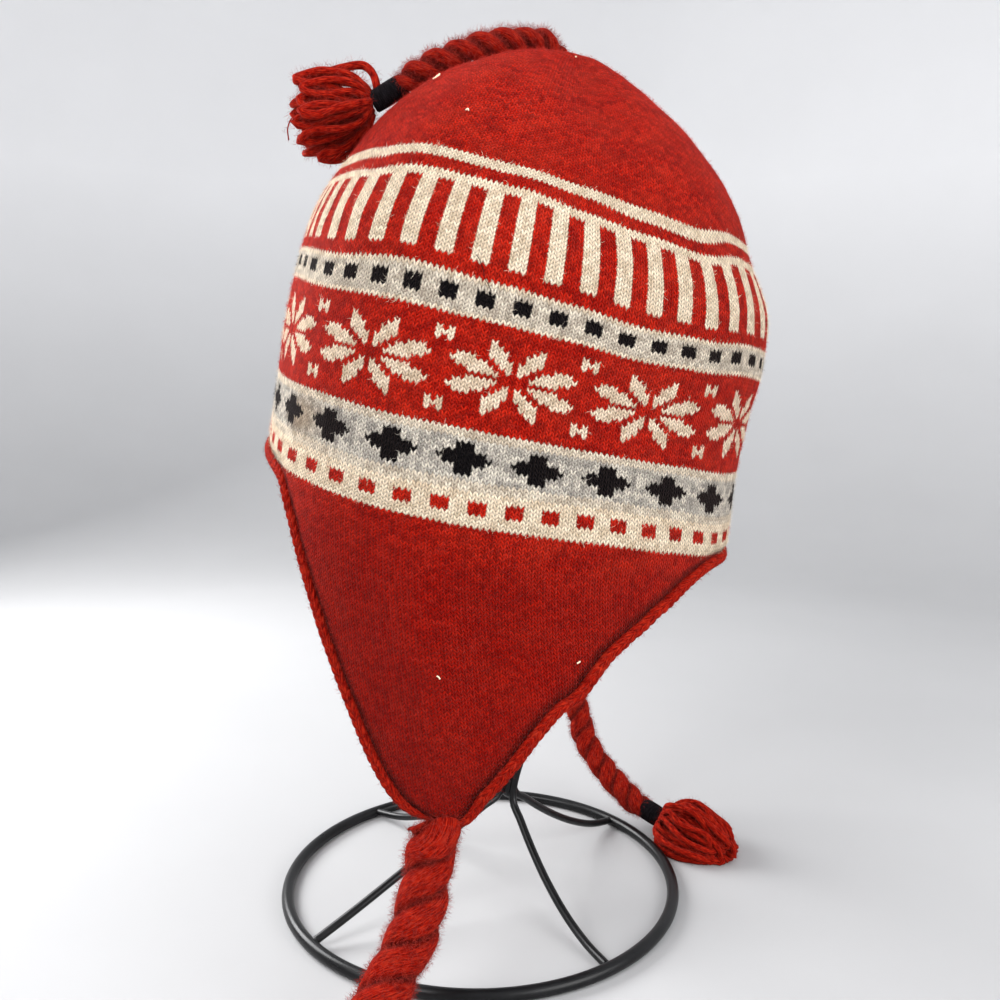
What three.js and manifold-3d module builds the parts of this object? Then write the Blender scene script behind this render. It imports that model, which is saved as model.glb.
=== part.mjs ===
// Knitted and felted earflap hat on a plain wire hat stand. Millimetres, +Z up, floor at z = 0.
// The hat leans to the right on its stand, with one earflap towards -Y and the other towards +Y.
import * as THREE from "three";
import { mergeVertices } from "three/addons/utils/BufferGeometryUtils.js";
import Module from "manifold-3d";

const wasm = await Module();
wasm.setup();

// Driving dimensions of the hat
const HALF_WIDTH = 89; // widest half width, front to back of the head
const HALF_DEPTH = 84; // half depth, ear to ear
const CROWN_HEIGHT = 158.8; // from the lower edge of the bands to the top
const FLAP_DROP = 101; // longest drop of an earflap below the bands
const KNIT = 3; // thickness of the felted knit
const HAT_AT = new THREE.Vector3(-6.1, -0.2, 171.9); // middle of the hat at the lower edge of its bands
const TILT = THREE.MathUtils.degToRad(12.5); // the hat leans to the right
const LEAN = THREE.MathUtils.degToRad(3.7); // and a little forward
const SQUARE_TURN = THREE.MathUtils.degToRad(15.5); // turn of the rounded square that the wires press into it
const NEAR_FLAP = THREE.MathUtils.degToRad(-10); // where the near earflap's middle is round the hat
const FAR_FLAP = THREE.MathUtils.degToRad(162); // where the far earflap's middle is
const FLAP_SETTLE = 16; // length over which an earflap turns from the hat's lean to hanging straight
const FLAP_SWAY = 0.1; // sideways drift of a hanging flap for each millimetre of drop
const FLAP_TUCK = 9; // how far a flap's tip comes in under the hat

// Driving dimensions of the edge and the cords
const EDGE_WIRE = 4.6; // diameter of the rolled edge
const NEAR_TIE = 14.4; // diameter of the tie of the near flap
const FAR_TIE = 11; // diameter of the tie of the far flap
const TOP_CORD = 9.4; // diameter of the cord on the crown
const WRAP_LENGTH = 11; // length of the thread wrap at the end of a tie
const TOP_WRAP_LENGTH = 14; // length of the thread wrap on the crown's cord
const TASSEL_LENGTH = 38; // length of a tassel from its wrap to its ends
const TASSEL_WIDTH = 30; // width of a tassel at its ends
const TOP_TASSEL_LENGTH = 30; // the same two sizes of the tassel on the crown
const TOP_TASSEL_WIDTH = 34;
const TOP_TASSEL_SAG = 5; // how far the ends of the crown's tassel sag past the hat's shoulder
const TOP_TASSEL_WAY = new THREE.Vector3(-0.98, -0.04, -0.14).normalize(); // where it points
const LOCK = 7.5; // thickness of one lock of a tassel
const LOCKS = 12; // locks round the middle one
const WRAP_SHARE = 0.84; // diameter of a wrap as a share of its cord's

// Driving dimensions of the stand
const RING_RADIUS = 80; // middle of the base ring's wire
const RING_WIRE = 4.8; // diameter of the base ring's wire
const LEG_WIRE = 3.2; // diameter of the bent wires
const NECK_AT = new THREE.Vector3(0, 5.8, 42); // where the wires draw together above the ring
const RING_AT = new THREE.Vector2(-11.5, 5.8); // middle of the base ring
const WELD = 3.4; // radius of the weld at the neck
const TOP_WELD = 2.6; // radius of the weld where the wires cross under the crown

// Clearances
const TOUCH = 0.3; // gap between pieces that touch
const FACET_ROOM = 0.8; // more room where two curved surfaces meet facet on facet
const WIRE_ROOM = 1.15; // the same where a wire bends along the folds inside the hat
const SAME_CORNER = 0.02; // corners of a cut solid that are closer than this are one

// Sections of the crown from the bands to the top: height as a share of CROWN_HEIGHT, width and shift as
// shares of HALF_WIDTH, depth as a share of HALF_DEPTH, square is the exponent of the rounded square.
const CROWN = [
  { height: 0.0, width: 0.986, depth: 1.07, shift: 0.0, square: 2.47 },
  { height: 0.13, width: 0.982, depth: 1.01, shift: -0.01, square: 2.47 },
  { height: 0.27, width: 0.985, depth: 0.966, shift: -0.018, square: 2.47 },
  { height: 0.4, width: 0.99, depth: 0.922, shift: -0.004, square: 2.47 },
  { height: 0.52, width: 0.962, depth: 0.873, shift: -0.008, square: 2.47 },
  { height: 0.64, width: 0.865, depth: 0.764, shift: -0.024, square: 2.42 },
  { height: 0.76, width: 0.744, depth: 0.658, shift: -0.03, square: 2.35 },
  { height: 0.87, width: 0.557, depth: 0.494, shift: -0.045, square: 2.2 },
  { height: 0.95, width: 0.33, depth: 0.29, shift: -0.055, square: 2.1 },
  { height: 0.99, width: 0.15, depth: 0.134, shift: -0.05, square: 2.0 },
  { height: 1.0, width: 0.0, depth: 0.0, shift: -0.045, square: 2.0 },
];

// Outline of an earflap: angle from its middle in degrees, drop of its front and its back edge there as
// shares of FLAP_DROP. The front of the hat is towards -X.
const FLAP = [
  { angle: 0, front: 1.0, back: 1.0 },
  { angle: 5, front: 0.995, back: 0.98 },
  { angle: 9, front: 0.985, back: 0.895 },
  { angle: 14, front: 0.9, back: 0.8 },
  { angle: 20, front: 0.715, back: 0.662 },
  { angle: 27, front: 0.495, back: 0.49 },
  { angle: 32, front: 0.32, back: 0.36 },
  { angle: 37, front: 0.17, back: 0.28 },
  { angle: 44, front: 0.05, back: 0.193 },
  { angle: 56, front: 0.02, back: 0.08 },
  { angle: 66, front: 0.02, back: 0.03 },
  { angle: 80, front: 0.02, back: 0.02 },
  { angle: 180, front: 0.02, back: 0.02 },
];

// Soft folds: angle and halfWidth in degrees, from and to as row places (below 0 on the flap, in tenths of the
// drop, above 0 in rows of the crown), rise as a share of KNIT.
const FOLDS = [
  { angle: -9, halfWidth: 9, from: -10, to: -1, rise: 0.7 },
  { angle: 4, halfWidth: 8, from: -10, to: -1, rise: -0.8 },
  { angle: -28, halfWidth: 14, from: 2, to: 9, rise: 0.8 },
  { angle: 12, halfWidth: 12, from: 5, to: 9.6, rise: -0.9 },
  { angle: 66, halfWidth: 10, from: 4, to: 9.0, rise: -0.35 },
  { angle: 150, halfWidth: 14, from: 2, to: 9, rise: 0.8 },
  { angle: 190, halfWidth: 12, from: 5, to: 9.6, rise: -0.8 },
];

// Routes of the cords, points chosen by hand.
const NEAR_TIE_ROUTE = [
  [-24.5, -80.5, 64.9], [-26, -81, 56.5], [-27.5, -84, 49], [-29, -88, 42], [-31, -93, 35.5],
  [-34.5, -98, 30], [-38, -104, 25.5], [-41.5, -109.5, 21], [-45.5, -115.5, 16.5], [-49.5, -121, 12.5],
  [-54.5, -127, 9.5], [-60, -133, 7.9], [-66.5, -138.5, 7.6], [-73, -143.5, 7.6], [-79.5, -148, 7.6],
];
const FAR_TIE_ROUTE = [
  [35, 79, 63.6], [34, 80, 59.5], [34, 80.5, 54.5], [35, 80, 49.5], [36.5, 79, 44.5],
  [37.5, 77.5, 39.5], [39, 75.5, 35], [41.5, 73, 31], [44, 70, 27.5], [47, 67.5, 24],
  [50, 64.5, 21], [53, 61.5, 18], [56.5, 58.5, 15.5], [59.5, 55.5, 13], [63.5, 52, 11.5],
];
const TOP_CORD_ROUTE = [
  [21, -9.6, 333.1], [18.2, -9.6, 333.4], [15.2, -9.8, 333.8], [11.5, -10.6, 334.1], [7.5, -11.8, 333.8],
  [3.5, -13.2, 333.2], [-0.5, -14.8, 332.6], [-4.5, -16.4, 331.5], [-8.5, -17.6, 330.3], [-12.7, -18.4, 329],
  [-17, -18.9, 327.4], [-21.5, -19.2, 325.6], [-26.5, -19.2, 323.6], [-31.8, -18.9, 320.6], [-37.5, -18.4, 317.4],
];

// Legs of the stand, anticlockwise from +X: angle where a leg meets the ring, dip is how fast it drops
// from the neck, 1 is straight, dome is the angle of the same wire inside the hat.
const WIRES = [
  { angle: -141, dip: 1.05, dome: -121 },
  { angle: -54, dip: 2.2, dome: -31 },
  { angle: 40, dip: 1.6, dome: 59 },
  { angle: 131, dip: 1.6, dome: 149 },
];

// How the wires swell from the neck to the hat: out as a share of the way to the hat's wall, up as a share
// of the height from the neck to the bands.
const SWELL = [
  { out: 0.1, up: 0.14 },
  { out: 0.24, up: 0.3 },
  { out: 0.48, up: 0.5 },
  { out: 0.76, up: 0.74 },
];

const COLOURS = {
  red: new THREE.MeshStandardMaterial({ color: 0xb3261a, roughness: 0.95, metalness: 0 }),
  edge: new THREE.MeshStandardMaterial({ color: 0xc4301e, roughness: 0.95, metalness: 0 }),
  black: new THREE.MeshStandardMaterial({ color: 0x17171a, roughness: 0.9, metalness: 0 }),
  wire: new THREE.MeshStandardMaterial({ color: 0x101010, roughness: 0.4, metalness: 0.6 }),
};

// A value from a table, on a smooth curve through its rows; place counts rows from 0.
function onTable(rows, key, place) {
  const last = rows.length - 1;
  const i = Math.min(Math.max(Math.floor(place), 0), last - 1);
  const f = place - i;
  const b = rows[i][key];
  const c = rows[i + 1][key];
  const a = i > 0 ? rows[i - 1][key] : 2 * b - c;
  const d = i < last - 1 ? rows[i + 2][key] : 2 * c - b;
  return 0.5 * (2 * b + (c - a) * f + (2 * a - 5 * b + 4 * c - d) * f * f + (3 * b - a - 3 * c + d) * f ** 3);
}

// The place in a table where the column key reaches a value.
function placeOf(rows, key, value) {
  const i = rows.findIndex((row, n) => n > 0 && row[key] >= value);
  return i - 1 + (value - rows[i - 1][key]) / (rows[i][key] - rows[i - 1][key]);
}

const TURN = 2 * Math.PI;
const power = (x, e) => Math.sign(x) * Math.abs(x) ** e;

// Angles are measured at the hat's middle from the near side, -Y, and grow towards +X.
const wrapped = (angle) => ((((angle + Math.PI) % TURN) + TURN) % TURN) - Math.PI;

function dropAt(angle) {
  const fromNear = wrapped(angle - NEAR_FLAP);
  const fromFar = wrapped(angle - FAR_FLAP);
  const near = Math.abs(fromNear) < Math.abs(fromFar);
  const off = near ? fromNear : -fromFar;
  const place = placeOf(FLAP, "angle", THREE.MathUtils.radToDeg(Math.abs(off)));
  return FLAP_DROP * Math.max(FLAP[FLAP.length - 1].front, onTable(FLAP, off < 0 ? "front" : "back", place));
}

// A point of the crown's outer face in the hat's own frame, at an angle and a place among the rows of CROWN.
function crownPoint(angle, place) {
  const e = 2 / onTable(CROWN, "square", place);
  const turned = angle - SQUARE_TURN;
  const x = HALF_WIDTH * Math.max(0, onTable(CROWN, "width", place)) * power(Math.sin(turned), e);
  const y = -HALF_DEPTH * Math.max(0, onTable(CROWN, "depth", place)) * power(Math.cos(turned), e);
  return new THREE.Vector3(
    x * Math.cos(SQUARE_TURN) - y * Math.sin(SQUARE_TURN) + HALF_WIDTH * onTable(CROWN, "shift", place),
    x * Math.sin(SQUARE_TURN) + y * Math.cos(SQUARE_TURN),
    CROWN_HEIGHT * onTable(CROWN, "height", place),
  );
}

const hatTurn = new THREE.Matrix4()
  .makeRotationY(TILT)
  .multiply(new THREE.Matrix4().makeRotationX(LEAN));
const hatFrame = new THREE.Matrix4().setPosition(HAT_AT).multiply(hatTurn);

// A point of the plain outer face: place 0 is the lower edge of the bands, the last row the top, and
// below 0 the earflap, down to -10 at its edge.
function plainPoint(angle, place) {
  if (place >= 0) return crownPoint(angle, place).applyMatrix4(hatFrame);
  const hem = crownPoint(angle, 0).applyMatrix4(hatFrame);
  const drop = (dropAt(angle) * -place) / 10;
  const leaning = FLAP_SETTLE * (1 - Math.exp(-drop / FLAP_SETTLE));
  const down = new THREE.Vector3(0, 0, -1).applyMatrix4(hatTurn).multiplyScalar(leaning);
  const hang = new THREE.Vector3(FLAP_SWAY, 0, -1).multiplyScalar(drop - leaning);
  const inward = Math.sign(hem.y - HAT_AT.y) * Math.abs(Math.cos(angle));
  const tuck = -FLAP_TUCK * inward * (drop / FLAP_DROP) ** 2;
  return hem.add(down).add(hang).add(new THREE.Vector3(0, tuck, 0));
}

// Outward normal of the plain face, from its slopes either way.
function normalAt(angle, place) {
  const step = 1e-3;
  const up = Math.min(place, CROWN.length - 1 - 2 * step);
  const across = plainPoint(angle + step, up).sub(plainPoint(angle - step, up));
  const along = plainPoint(angle, up + step).sub(plainPoint(angle, up - step));
  return across.cross(along).normalize();
}

function foldAt(angle, place) {
  let rise = 0;
  for (const fold of FOLDS) {
    const off = THREE.MathUtils.radToDeg(angle) - fold.angle;
    const across = (((off + 180) % 360) + 360) % 360 - 180;
    const middle = (fold.from + fold.to) / 2;
    const along = (place - middle) / ((fold.to - fold.from) / 2);
    if (Math.abs(along) >= 1) continue;
    rise += fold.rise * Math.exp(-((across / fold.halfWidth) ** 2)) * Math.cos((along * Math.PI) / 2) ** 2;
  }
  return rise * KNIT;
}

// A point at a depth under the outer face, with the folds.
const hatPoint = (angle, place, depth = 0) =>
  plainPoint(angle, place).addScaledVector(normalAt(angle, place), foldAt(angle, place) - depth);

const apexPoint = (depth) =>
  new THREE.Vector3(HALF_WIDTH * CROWN[CROWN.length - 1].shift, 0, CROWN_HEIGHT - depth).applyMatrix4(hatFrame);

// Helpers between three.js geometry and solids
function solidOf(geometry) {
  const bare = geometry.clone();
  bare.deleteAttribute("normal");
  bare.deleteAttribute("uv");
  const merged = mergeVertices(bare, 1e-4);
  return new wasm.Manifold(
    new wasm.Mesh({
      numProp: 3,
      vertProperties: new Float32Array(merged.attributes.position.array),
      triVerts: new Uint32Array(merged.index.array),
    }),
  );
}

// The geometry of a solid. Corners closer than SAME_CORNER become one, and faces that vanish with them go.
function geometryOf(solid) {
  const mesh = solid.getMesh();
  const raw = new THREE.BufferGeometry();
  raw.setAttribute("position", new THREE.Float32BufferAttribute(mesh.vertProperties, 3));
  raw.setIndex(new THREE.BufferAttribute(mesh.triVerts, 1));
  const geometry = mergeVertices(raw, SAME_CORNER);
  const faces = [];
  for (let i = 0; i < geometry.index.count; i += 3) {
    const [a, b, c] = [0, 1, 2].map((k) => geometry.index.getX(i + k));
    if (a !== b && b !== c && c !== a) faces.push(a, b, c);
  }
  geometry.setIndex(faces);
  geometry.computeVertexNormals();
  return geometry;
}

const joined = (geometries) => geometries.map(solidOf).reduce((a, b) => a.add(b));

const group = new THREE.Group();

function addPiece(name, geometry, material) {
  const mesh = new THREE.Mesh(geometry, material.clone());
  mesh.name = name;
  group.add(mesh);
}

// A round tube along points, with flat ends.
function tube(points, diameter, sides, steps, tension = 0.5) {
  const outline = [];
  for (let i = 0; i < sides; i++) {
    const a = (2 * Math.PI * i) / sides;
    outline.push(new THREE.Vector2(Math.cos(a), Math.sin(a)).multiplyScalar(diameter / 2));
  }
  const path = new THREE.CatmullRomCurve3(points, false, "centripetal", tension);
  return new THREE.ExtrudeGeometry(new THREE.Shape(outline), { steps, bevelEnabled: false, extrudePath: path });
}

// Hat: the outer and the inner face as grids of columns and rows, closed by the edge below.
function hatColumns() {
  const perSide = 12;
  const angles = [];
  const middles = [NEAR_FLAP, FAR_FLAP, NEAR_FLAP + TURN];
  for (const i of [0, 1]) {
    const half = (middles[i + 1] - middles[i]) / 2;
    for (let k = 0; k < perSide; k++) angles.push(middles[i] + half * (k / perSide) ** 1.25);
    for (let k = perSide; k > 0; k--) angles.push(middles[i + 1] - half * (k / perSide) ** 1.25);
  }
  return angles;
}

const COLUMNS = hatColumns();
const PLACES = [-10, -8.4, -6.8, -5.2, -3.6, -1.8, 0, 1, 2, 3, 4, 4.7, 5.3, 6, 6.6, 7.2, 7.8, 8.4, 9];

function hatGeometry() {
  const corners = [];
  const faces = [];
  const width = COLUMNS.length;
  for (const depth of [0, KNIT]) {
    for (const place of PLACES) {
      for (const angle of COLUMNS) corners.push(...hatPoint(angle, place, depth).toArray());
    }
    corners.push(...apexPoint(depth).toArray());
  }
  const layer = width * PLACES.length + 1;
  const at = (side, row, column) => side * layer + row * width + (column % width);
  const quad = (a, b, c, d) => faces.push(a, b, c, a, c, d);
  for (let column = 0; column < width; column++) {
    for (let row = 0; row < PLACES.length - 1; row++) {
      quad(at(0, row, column), at(0, row, column + 1), at(0, row + 1, column + 1), at(0, row + 1, column));
      quad(at(1, row, column), at(1, row + 1, column), at(1, row + 1, column + 1), at(1, row, column + 1));
    }
    const top = PLACES.length - 1;
    faces.push(at(0, top, column), at(0, top, column + 1), layer - 1);
    faces.push(at(1, top, column + 1), at(1, top, column), 2 * layer - 1);
    quad(at(0, 0, column), at(1, 0, column), at(1, 0, column + 1), at(0, 0, column + 1));
  }
  const geometry = new THREE.BufferGeometry();
  geometry.setAttribute("position", new THREE.Float32BufferAttribute(corners, 3));
  geometry.setIndex(faces);
  geometry.computeVertexNormals();
  return geometry;
}

// Middle line of the rolled edge, just below the shell's edge.
function edgeLine() {
  const middle = (angle) => hatPoint(angle, PLACES[0], KNIT / 2);
  const reach = EDGE_WIRE / 2 + TOUCH + FACET_ROOM;
  return COLUMNS.map((angle) => {
    const step = 0.02;
    const along = middle(angle + step).sub(middle(angle - step)).normalize();
    const out = along.cross(normalAt(angle, PLACES[0])).normalize();
    if (out.z > 0) out.negate();
    return middle(angle).addScaledVector(out, reach);
  });
}

function edgeGeometry() {
  const path = new THREE.CatmullRomCurve3(edgeLine(), true, "centripetal");
  return new THREE.TubeGeometry(path, 2 * COLUMNS.length, EDGE_WIRE / 2, 6, true);
}

// Stand: base ring with a flat underside, four bent wires welded to it, at the neck and under the crown.
function ringGeometry() {
  const sides = 10;
  const turn = Math.PI / sides;
  const profile = [];
  for (let i = 0; i <= sides; i++) {
    const a = -Math.PI / 2 + turn + (2 * Math.PI * i) / sides;
    const r = RING_WIRE / 2 / Math.cos(turn);
    profile.push(new THREE.Vector2(RING_RADIUS + r * Math.cos(a), RING_WIRE / 2 + r * Math.sin(a)));
  }
  const ring = new THREE.LatheGeometry(profile, 40);
  ring.rotateX(Math.PI / 2);
  ring.translate(RING_AT.x, RING_AT.y, 0);
  return ring;
}

function wirePoints(wire) {
  const turn = THREE.MathUtils.degToRad(wire.angle);
  const foot = new THREE.Vector3(
    RING_AT.x + RING_RADIUS * Math.cos(turn),
    RING_AT.y + RING_RADIUS * Math.sin(turn),
    RING_WIRE / 2,
  );
  const points = [];
  for (const share of [1, 0.8, 0.6, 0.42, 0.27, 0.14, 0.05]) {
    const point = NECK_AT.clone().lerp(foot, share);
    point.z = foot.z + (NECK_AT.z - foot.z) * (1 - share) ** wire.dip;
    points.push(point);
  }
  const room = KNIT + LEG_WIRE / 2 + TOUCH + WIRE_ROOM;
  const angle = THREE.MathUtils.degToRad(wire.dome + 90);
  const wall = hatPoint(angle, 1, room);
  for (const { out, up } of SWELL) {
    const point = NECK_AT.clone().lerp(wall, out);
    point.z = NECK_AT.z + (wall.z - NECK_AT.z) * up;
    points.push(point);
  }
  for (const place of [1, 1.8, 2.6, 3.4, 4.2, 5, 5.8, 6.6, 7.4, 8.2, 8.9]) {
    points.push(hatPoint(angle, place, room));
  }
  points.push(apexPoint(room + TOUCH));
  return points;
}

function standSolid() {
  const pieces = [ringGeometry()];
  for (const wire of WIRES) pieces.push(tube(wirePoints(wire), LEG_WIRE, 6, 30));
  const neck = new THREE.SphereGeometry(WELD, 10, 6);
  neck.translate(NECK_AT.x, NECK_AT.y, NECK_AT.z);
  const top = new THREE.SphereGeometry(TOP_WELD, 8, 5);
  top.translate(...apexPoint(KNIT + TOP_WELD + 2 * TOUCH).toArray());
  pieces.push(neck, top);
  return joined(pieces);
}

// Thread wrap: a short barrel from one point along a direction.
function placeAlong(geometry, start, direction) {
  const turn = new THREE.Quaternion().setFromUnitVectors(new THREE.Vector3(0, 1, 0), direction);
  geometry.applyQuaternion(turn);
  geometry.translate(start.x, start.y, start.z);
  return geometry;
}

function wrapGeometry(start, direction, diameter, length) {
  const r = diameter / 2;
  const profile = [
    [0, 0], [0.9 * r, 0], [r, 0.14 * length], [r, 0.86 * length], [0.9 * r, length], [0, length],
  ].map(([x, y]) => new THREE.Vector2(x, y));
  return placeAlong(new THREE.LatheGeometry(profile, 10), start, direction);
}

// Tassel: a head at the wrap and thick locks that spread from it, cut flat at the wrap and at the floor.
const GOLDEN_TURN = Math.PI * (3 - Math.sqrt(5));
const LOCK_STATIONS = [0.05, 0.4, 0.75, 1]; // shares of a lock's length
const CUTTER = 200; // side of the block that trims a tassel

function lockPoints(i, shape, side, rise) {
  const { start, way, neck, length, width, sag, phase } = shape;
  const turn = phase + i * GOLDEN_TURN;
  const isInner = i % 3 === 0;
  const ring = i === 0 ? 0 : isInner ? 0.5 : 1;
  const reach = length * (isInner ? 1 - 0.013 * i : 0.86 + 0.1 * Math.sin(3 * i)) - LOCK / 3;
  const out = (width / 2 - LOCK / 2) * ring;
  return LOCK_STATIONS.map((share) => {
    const swell = out * Math.sin((Math.min(share * 1.8, 1) * Math.PI) / 2);
    return start
      .clone()
      .addScaledVector(way, share * reach + neck * 0.1)
      .addScaledVector(side, swell * Math.cos(turn))
      .addScaledVector(rise, swell * Math.sin(turn))
      .add(new THREE.Vector3(0, 0, -sag * share ** 2));
  });
}

function tasselSolid(shape) {
  const { start, way, faceWay, neck } = shape;
  const side = new THREE.Vector3(0, 0, 1).cross(way).normalize();
  const rise = way.clone().cross(side).normalize();
  const head = new THREE.SphereGeometry(neck * 0.62, 8, 6);
  head.translate(...start.clone().addScaledVector(way, neck * 0.6).toArray());
  const pieces = [head];
  for (let i = 0; i <= LOCKS; i++) {
    pieces.push(tube(lockPoints(i, shape, side, rise), LOCK * (0.85 + 0.1 * Math.cos(5 * i)), 6, 3));
  }
  const face = new THREE.BoxGeometry(CUTTER, CUTTER, CUTTER);
  face.lookAt(faceWay);
  face.translate(...start.clone().addScaledVector(faceWay, -CUTTER / 2).toArray());
  const ground = new THREE.BoxGeometry(CUTTER, CUTTER, CUTTER);
  ground.translate(start.x, start.y, -CUTTER / 2);
  return joined(pieces).subtract(solidOf(face)).subtract(solidOf(ground));
}

// A tie or cord with its wrap and its tassel, each face to face with the one before. The phase turns the locks.
function addCord({ name, route, diameter, wrapLength, length, width, sag, phase, tasselWay }) {
  const points = route.map((p) => new THREE.Vector3(...p));
  addPiece(name, tube(points, diameter, 8, points.length), COLOURS.edge);
  const end = points[points.length - 1];
  const way = end.clone().sub(points[points.length - 2]).normalize();
  const wrapStart = end.clone().addScaledVector(way, TOUCH);
  addPiece(`${name}_wrap`, wrapGeometry(wrapStart, way, WRAP_SHARE * diameter, wrapLength), COLOURS.black);
  const start = wrapStart.clone().addScaledVector(way, wrapLength + TOUCH);
  const neck = WRAP_SHARE * diameter;
  const shape = { start, way: tasselWay ?? way, faceWay: way, neck, length, width, sag, phase };
  addPiece(`${name}_tassel`, geometryOf(tasselSolid(shape)), COLOURS.edge);
}

addPiece("hat_body", hatGeometry(), COLOURS.red);
addPiece("edge_trim", edgeGeometry(), COLOURS.edge);

addPiece("wire_stand", geometryOf(standSolid()), COLOURS.wire);

addCord({
  name: "near_tie",
  route: NEAR_TIE_ROUTE,
  diameter: NEAR_TIE,
  wrapLength: WRAP_LENGTH,
  length: TASSEL_LENGTH,
  width: TASSEL_WIDTH,
  sag: 0,
  phase: 0.45,
});
addCord({
  name: "far_tie",
  route: FAR_TIE_ROUTE,
  diameter: FAR_TIE,
  wrapLength: WRAP_LENGTH,
  length: TASSEL_LENGTH,
  width: TASSEL_WIDTH,
  sag: 0,
  phase: 0,
});
addCord({
  name: "top_cord",
  route: TOP_CORD_ROUTE,
  diameter: TOP_CORD,
  wrapLength: TOP_WRAP_LENGTH,
  length: TOP_TASSEL_LENGTH,
  width: TOP_TASSEL_WIDTH,
  sag: TOP_TASSEL_SAG,
  phase: 0,
  tasselWay: TOP_TASSEL_WAY,
});

export default group;
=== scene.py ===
import math

import bpy
import numpy as np
from mathutils import Matrix, Vector, noise


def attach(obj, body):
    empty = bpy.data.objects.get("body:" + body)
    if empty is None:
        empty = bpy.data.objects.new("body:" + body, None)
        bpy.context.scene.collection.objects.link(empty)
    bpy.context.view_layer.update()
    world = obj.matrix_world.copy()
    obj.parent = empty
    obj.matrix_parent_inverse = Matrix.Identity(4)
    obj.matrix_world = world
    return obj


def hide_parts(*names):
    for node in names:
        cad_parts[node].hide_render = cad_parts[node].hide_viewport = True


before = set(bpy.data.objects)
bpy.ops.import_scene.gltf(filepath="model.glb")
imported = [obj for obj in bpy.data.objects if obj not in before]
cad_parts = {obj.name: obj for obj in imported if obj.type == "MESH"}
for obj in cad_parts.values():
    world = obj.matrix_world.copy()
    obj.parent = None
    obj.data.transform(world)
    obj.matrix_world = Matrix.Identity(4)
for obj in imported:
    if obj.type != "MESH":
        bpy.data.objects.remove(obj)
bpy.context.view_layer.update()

MM = 0.001
TURN = 2 * math.pi
GOLDEN_TURN = 2.39996

# Sizes of the hat, as in the frame's own solids
HALF_WIDTH = 89 * MM
HALF_DEPTH = 84 * MM
CROWN_HEIGHT = 158.8 * MM
FLAP_DROP = 101 * MM
KNIT = 3 * MM
HAT_AT = np.array([-6.1, -0.2, 171.9]) * MM
TILT = math.radians(12.5)
LEAN = math.radians(3.7)
SQUARE_TURN = math.radians(15.5)
NEAR_FLAP = math.radians(-10)
FAR_FLAP = math.radians(162)
FLAP_SETTLE = 16 * MM
FLAP_SWAY = 0.1
FLAP_TUCK = 9 * MM
EDGE_WIRE = 4.6 * MM
TOUCH = 0.3 * MM

# The near flap's tip: where it is, its half width, and how far the tie's weight draws it down
NEAR_TIP = math.radians(-11)
TIP_WIDTH = math.radians(7)
TIP_REACH = 3 * MM

# Cords: diameter as a cord's solid has it, the fuller one of its soft strands, and the lengths over which its start
# rounds off and its end draws in to the wrap
NEAR_TIE = 14.4 * MM
FAR_TIE = 11 * MM
TOP_CORD = 9.4 * MM
NEAR_TIE_FULL = 16.4 * MM
FAR_TIE_FULL = 11.6 * MM
TOP_CORD_FULL = 10.4 * MM
ROUND_START = 2.2 * MM
WRAP_TAPER = 5 * MM
YARN_SLANT = 0.75

# Thread wraps at the cords' ends
WRAP_LENGTH = 11 * MM
TOP_WRAP_LENGTH = 14 * MM
WRAP_SHARE = 0.84
WRAP_THREAD = 0.8 * MM

# Stand
RING_RADIUS = 80 * MM
RING_WIRE = 4.8 * MM
LEG_WIRE = 3.2 * MM
NECK_AT = np.array([0, 5.8, 42]) * MM
RING_AT = np.array([-11.5, 5.8]) * MM
WELD = 3.4 * MM
TOP_WELD = 2.6 * MM
WIRE_ROOM = 1.15 * MM

# Knit: stitches round the hat, size of a stitch, and how far the pattern is turned, in stitches
STITCHES = 288
STITCH = 1.92 * MM
ROW = 1.33 * MM
PATTERN_SHIFT = 0.35

# Bands and motifs: first and last row, middle row, and stitches from one motif to the next
SQUARES_BAND, CROSS_BAND, DOTS_BAND = (0, 8), (8, 21), (46, 54)
LINES = [(73, 75), (78, 81)]
SQUARE_ROW, CROSS_ROW, STAR_ROW, DOT_ROW, BAR_ROW = 4.5, 14.5, 33.5, 50.5, 65
SQUARE_PERIOD, CROSS_PERIOD, STAR_PERIOD = 6, 12, 24
DOT_HALF = 1.5
BAR_HALF_HEIGHT = 8

# Relief of the knit: groove along the rim, ribs of the bars, and unevenness: size of its waves and their two heights
GROOVE_DEPTH = 0.9 * MM
GROOVE_WIDTH = 2.6 * MM
RIB = 0.22 * MM
RIPPLE_SIZE = 17 * MM
RIPPLES = (0.55 * MM, 0.25 * MM)

# Sections of the crown from the bands to the top: height, width, depth and shift as shares of the hat's
# sizes, and the exponent of the rounded square.
CROWN = np.array([
    (0.0, 0.986, 1.07, 0.0, 2.47), (0.13, 0.982, 1.01, -0.01, 2.47), (0.27, 0.985, 0.966, -0.018, 2.47),
    (0.4, 0.99, 0.922, -0.004, 2.47), (0.52, 0.962, 0.873, -0.008, 2.47), (0.64, 0.865, 0.764, -0.024, 2.42),
    (0.76, 0.744, 0.658, -0.03, 2.35), (0.87, 0.557, 0.494, -0.045, 2.2), (0.95, 0.33, 0.29, -0.055, 2.1),
    (0.99, 0.15, 0.134, -0.05, 2.0), (1.0, 0.0, 0.0, -0.045, 2.0),
])
HEIGHT, WIDTH, DEPTH, SHIFT, SQUARE = CROWN.T
TOP_PLACE = len(CROWN) - 1

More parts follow.
